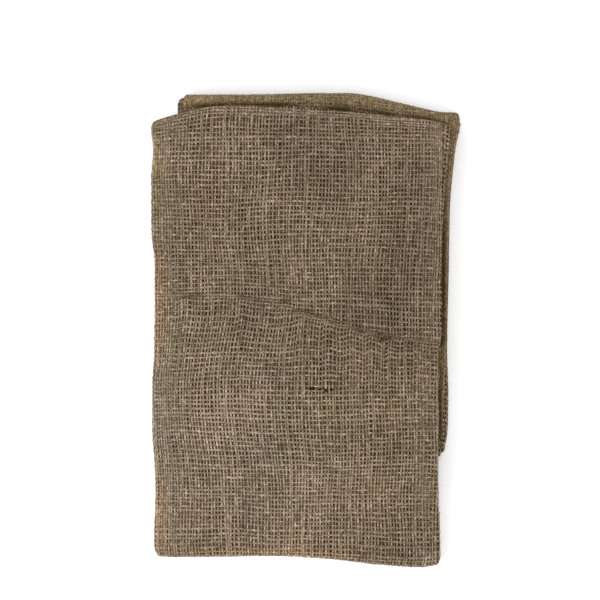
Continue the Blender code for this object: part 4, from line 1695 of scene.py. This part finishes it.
def woven_group():
    """From the place on the flat cloth: the yarns' height, the holes, and each yarn's number."""
    group, given, made = new_group("jute_weave",
                                   (("Flat", VECTOR), ("Pitch U", FLOAT), ("Pitch V", FLOAT)),
                                   (("Height", FLOAT), ("Hole", FLOAT), ("Yarn", VECTOR)))
    flat = moved(group, given["Flat"], noise_push(group, given["Flat"], *UNEVEN_FLAT))
    flat = split(group, flat)
    across = sums(group, "DIVIDE", flat["X"], given["Pitch U"])
    along = sums(group, "DIVIDE", flat["Y"], given["Pitch V"])
    up_a, turn_a = stripes(group, across, along, +1)
    up_b, turn_b = stripes(group, along, across, -1)
    height = sums(group, "MAXIMUM", up_a, up_b)
    first_set = sums(group, "GREATER_THAN", up_a, up_b)
    second_set = sums(group, "SUBTRACT", 1.0, first_set)
    number = plus(group, times(group, turn_a, first_set),
                  times(group, plus(group, turn_b, SECOND_SET), second_set))
    place = plus(group, times(group, flat["Y"], first_set), times(group, flat["X"], second_set))
    group.links.new(height, made["Height"])
    group.links.new(ramp(group, height, HOLE_FROM, HOLE_TO), made["Hole"])
    group.links.new(vector(group, number, place, 0.0), made["Yarn"])
    return group


jute_weave = woven_group()
print("weave of the wall:", len(jute_weave.nodes), "nodes")

# %% The wall's material
WARP_PITCH, WEFT_PITCH = 2.31 * MM, 3.26 * MM
# the holes of the pattern are painted this dark, as the shade of the layers under them
HOLE_PAINTED_SHADE = (0.022, 0.012, 0.005)
PAINTED_SHADE_BETWEEN_LAYERS = (0.42, 0.36, 0.28)        # painted shade: how much of the colour is left between the layers
WALL_ROUGHNESS = (0.0, 0.8, 0.98, 0.85)        # from deep to high yarns, and the roughness there
WALL_BUMP, FIBRES_ON_BUMP = 0.5 * MM, 0.25     # height of the yarns, and the fibres' share of it


def wall_material():
    """The plain wall: woven pattern with holes painted dark, fibres, tints, painted shade between
    layers.
    """
    material, tree, shader = dry_cloth("jute_wall", specular=0.05, sheen=0.0)
    place = object_place(tree)
    flat = add_node(tree, "ShaderNodeUVMap", uv_map="cloth").outputs[0]
    weave = use_group(tree, jute_weave,
                      {"Flat": flat, "Pitch U": WARP_PITCH, "Pitch V": WEFT_PITCH})
    fibres = use_group(tree, jute_fibres, {"Yarn": weave["Yarn"], "Around": 0.0, "Place": place})
    with_tints_and_painted_light = use_group(tree, jute_tints_and_painted_light, {"Colour": fibres["Colour"], "Place": place})
    # painted shade: the wall is darker between the layers, where little light gets in
    painted_layer_shade = mix_colour(tree, read(tree, "painted_shade_between_layers"), WHITE, PAINTED_SHADE_BETWEEN_LAYERS)
    colour = mix_colour(tree, 1.0, with_tints_and_painted_light["Colour"], painted_layer_shade, "MULTIPLY")
    height = plus(tree, weave["Height"], times(tree, fibres["Height"], FIBRES_ON_BUMP))
    bump = add_node(tree, "ShaderNodeBump",
                    {"Strength": 1.0, "Distance": WALL_BUMP, "Height": height})
    fill(tree, shader, {"Base Color": mix_colour(tree, weave["Hole"], colour, HOLE_PAINTED_SHADE),
                        "Roughness": ramp(tree, weave["Height"], *WALL_ROUGHNESS),
                        "Normal": bump.outputs[0]})
    return material


wall_mesh.materials.append(wall_material())
print("material of the wall:", wall_mesh.materials[0].name)

# %% [markdown]
# ## Weaving the patches
# The long yarns are closer together and a little narrower than the cross yarns. They stand a touch
# higher, which is why they catch more light. On the strip at the top the cloth is drawn in by the
# folds, so its yarns are closer and flatter, and nearly close the holes.

# %% Yarns and patches
WAVE = 0.33 * MM               # how far a yarn goes up and down at the crossings
WANDER = 0.75 * MM
UNEVENNESS = 0.85
STEPS = 2                      # points of a yarn from crossing to crossing
YARNS = {                      # where the long yarns go over, the cross yarns go under
    "warp": dict(across=False, half_width=0.60 * MM, half_thickness=0.34 * MM,
                 lift=+0.05 * MM, wave=+WAVE),
    "weft": dict(across=True, half_width=0.69 * MM, half_thickness=0.34 * MM,
                 lift=-0.05 * MM, wave=-WAVE),
}
PITCHES = (WARP_PITCH, WEFT_PITCH)
PATCHES = (  # guide; sides of a yarn; seed; how thick; pitches of long and cross yarns; how broad
    ("front", front_guide, 4, 1.0, 1.0, PITCHES, 1.0),
    ("top", top_guide, 4, 2.0, 0.8, (1.75 * MM, 2.35 * MM), 1.25),
    ("foot", foot_guide, 4, 3.0, 0.8, PITCHES, 1.0),
    ("under", under_guide, 3, 4.0, 0.8, PITCHES, 1.0),
)
print("patches:", [row[0] for row in PATCHES], " yarns:", list(YARNS))

# %% Weave
woven = []
for patch_name, (guide, width, length), sides, seed, thick, pitches, broad in PATCHES:
    for yarn, facts in YARNS.items():
        across = facts["across"]
        woven.append(run_tree(weave_yarns, f"{patch_name}_{yarn}", guide, {
            "Across": across, "Cloth Width": width, "Cloth Length": length,
            "Yarn Pitch": pitches[across], "Crossing Pitch": pitches[not across],
            "Half Width": facts["half_width"] * broad,
            "Half Thickness": facts["half_thickness"] * thick,
            "Wave": facts["wave"] * thick, "Lift": facts["lift"], "Wander": WANDER,
            "Unevenness": UNEVENNESS, "Sides": sides, "Steps": STEPS, "Seed": seed,
            "Material": jute_strip if patch_name == "top" else jute_yarn}))

# %% [markdown]
# ## Stray fibres
# Jute sheds: short ends of fibre stand off the yarns all over the cloth and blur its holes and
# edges. They could be a particle system of hair, but that isn't mesh. Here points are scattered on
# the front's guide with a fixed seed, each carries a fine straight fibre turned at random, and a
# soft noise that differs from fibre to fibre bends them.

# %% The scattering tree and its inputs
scatter_fibres, given = new_tree("scatter_fibres", (
    ("Density", FLOAT), ("Length", FLOAT), ("Half Thickness", FLOAT), ("Lift", FLOAT),
    ("Bend", FLOAT), ("Lowest", FLOAT), ("Seed", "NodeSocketInt"),
    ("Material", "NodeSocketMaterial")))
print("inputs of the scattering tree:", [socket.name for socket in given if socket.name])

# %% Straight fibres, scattered
SHORTEST = 0.4                 # the shortest fibres, as a share of the longest
FIBRE_POINTS = 7
MOST_NUMBERS = 100.0           # range of the number that each fibre gets for its own bend


def random_between(tree, low, high, seed):
    """A random number for each point."""
    return add_node(tree, "FunctionNodeRandomValue",
                    [(2, low), (3, high), ("Seed", seed)]).outputs[1]


def straight_fibres(tree, given):
    """Straight fibres on random points of the guide, each turned and sized at random."""
    spread = add_node(tree, "GeometryNodeDistributePointsOnFaces",
                      {"Mesh": given["Geometry"], "Density": given["Density"],
                       "Seed": given["Seed"]}).outputs
    lift = scaled(tree, spread["Normal"], given["Lift"])
    points = add_node(tree, "GeometryNodeSetPosition",
                      {"Geometry": spread["Points"], "Offset": lift}).outputs[0]
    own = random_between(tree, 0.0, MOST_NUMBERS, given["Seed"])
    points = store(tree, points, "own", "FLOAT", own)
    turn = vector(tree, 0.0, 0.0, random_between(tree, 0.0, 2 * math.pi, given["Seed"]))
    turn = add_node(tree, "FunctionNodeEulerToRotation", {"Euler": turn}).outputs[0]
    turn = add_node(tree, "FunctionNodeRotateRotation",
                    {"Rotation": spread["Rotation"], "Rotate By": turn},
                    rotation_space="LOCAL").outputs[0]
    size = times(tree, random_between(tree, SHORTEST, 1.0, given["Seed"]), given["Length"])
    line = add_node(tree, "GeometryNodeCurvePrimitiveLine",
                    {"Start": (-0.5, 0.0, 0.0), "End": (0.5, 0.0, 0.0)}).outputs[0]
    line = add_node(tree, "GeometryNodeResampleCurve",
                    {"Curve": line, "Count": FIBRE_POINTS}).outputs[0]
    fibres = add_node(tree, "GeometryNodeInstanceOnPoints",
                      {"Points": points, "Instance": line, "Rotation": turn,
                       "Scale": size}).outputs[0]
    return add_node(tree, "GeometryNodeRealizeInstances", {"Geometry": fibres}).outputs[0]


fibres = straight_fibres(scatter_fibres, given)
print("nodes so far:", len(scatter_fibres.nodes))

# %% Bent fibres with a section
BEND_SCALE = 150.0
FIBRE_SIDES = 3


def bent_fibres(tree, given, fibres):
    """Bends each fibre by a noise of its own, and keeps it above the floor."""
    where = moved(tree, scaled(tree, here(tree), BEND_SCALE), named(tree, "own", "FLOAT"))
    fibres = add_node(tree, "GeometryNodeSetPosition",
                      {"Geometry": fibres,
                       "Offset": noise_push(tree, where, 1.0, 1.0, given["Bend"])}).outputs[0]
    low = split(tree, here(tree))
    above_floor = vector(tree, low["X"], low["Y"], sums(tree, "MAXIMUM", low["Z"], given["Lowest"]))
    return add_node(tree, "GeometryNodeSetPosition",
                    {"Geometry": fibres, "Position": above_floor}).outputs[0]


section = add_node(scatter_fibres, "GeometryNodeCurvePrimitiveCircle",
                   {"Resolution": FIBRE_SIDES, "Radius": given["Half Thickness"]}).outputs["Curve"]
solid = add_node(scatter_fibres, "GeometryNodeCurveToMesh",
                 {"Curve": bent_fibres(scatter_fibres, given, fibres), "Profile Curve": section,
                  "Fill Caps": True}).outputs[0]
print("scattering tree:", finish_tree(scatter_fibres, solid, given["Material"]), "nodes")

# %% The fibres' material
STRAY_DARK, STRAY_LIGHT = (0.210, 0.155, 0.092), (0.480, 0.400, 0.290)
STRAY_NOISE, STRAY_TONES = (240.0, 2.0), (0.35, 0.65)      # scale, detail; from, to
STRAY_ROUGHNESS = (0.3, 0.7, 0.90, 0.75)                   # from dark to light, and there


def stray_material():
    """Single fibres: from brown to pale along and among them."""
    material, tree, shader = dry_cloth("jute_stray_fibre")
    tone = noise(tree, object_place(tree), *STRAY_NOISE)
    fill(tree, shader, {
        "Base Color": mix_colour(tree, ramp(tree, tone, *STRAY_TONES), STRAY_DARK, STRAY_LIGHT),
        "Roughness": ramp(tree, tone, *STRAY_ROUGHNESS)})
    return material


jute_stray_fibre = stray_material()
print("material of the fibres:", jute_stray_fibre.name)

# %% Scatter
stray_fibres = run_tree(scatter_fibres, "stray_fibres", front_guide[0], {
    "Density": 26000.0, "Length": 11.0 * MM, "Half Thickness": 0.045 * MM, "Lift": 0.75 * MM,
    "Bend": 5.0 * MM, "Lowest": 0.1 * MM, "Seed": 7, "Material": jute_stray_fibre})
for guide, _, _ in (front_guide, top_guide, foot_guide, under_guide):
    bpy.data.objects.remove(guide)

# %% [markdown]
# ## Handing the pieces over
# Every piece moves with the one body and stands for the imported sack, which is hidden.

# %% Ride and replace
for piece in (sack_wall, *woven, stray_fibres):
    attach(piece, "root")
    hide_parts("sack")
print("pieces handed over:", 2 + len(woven))
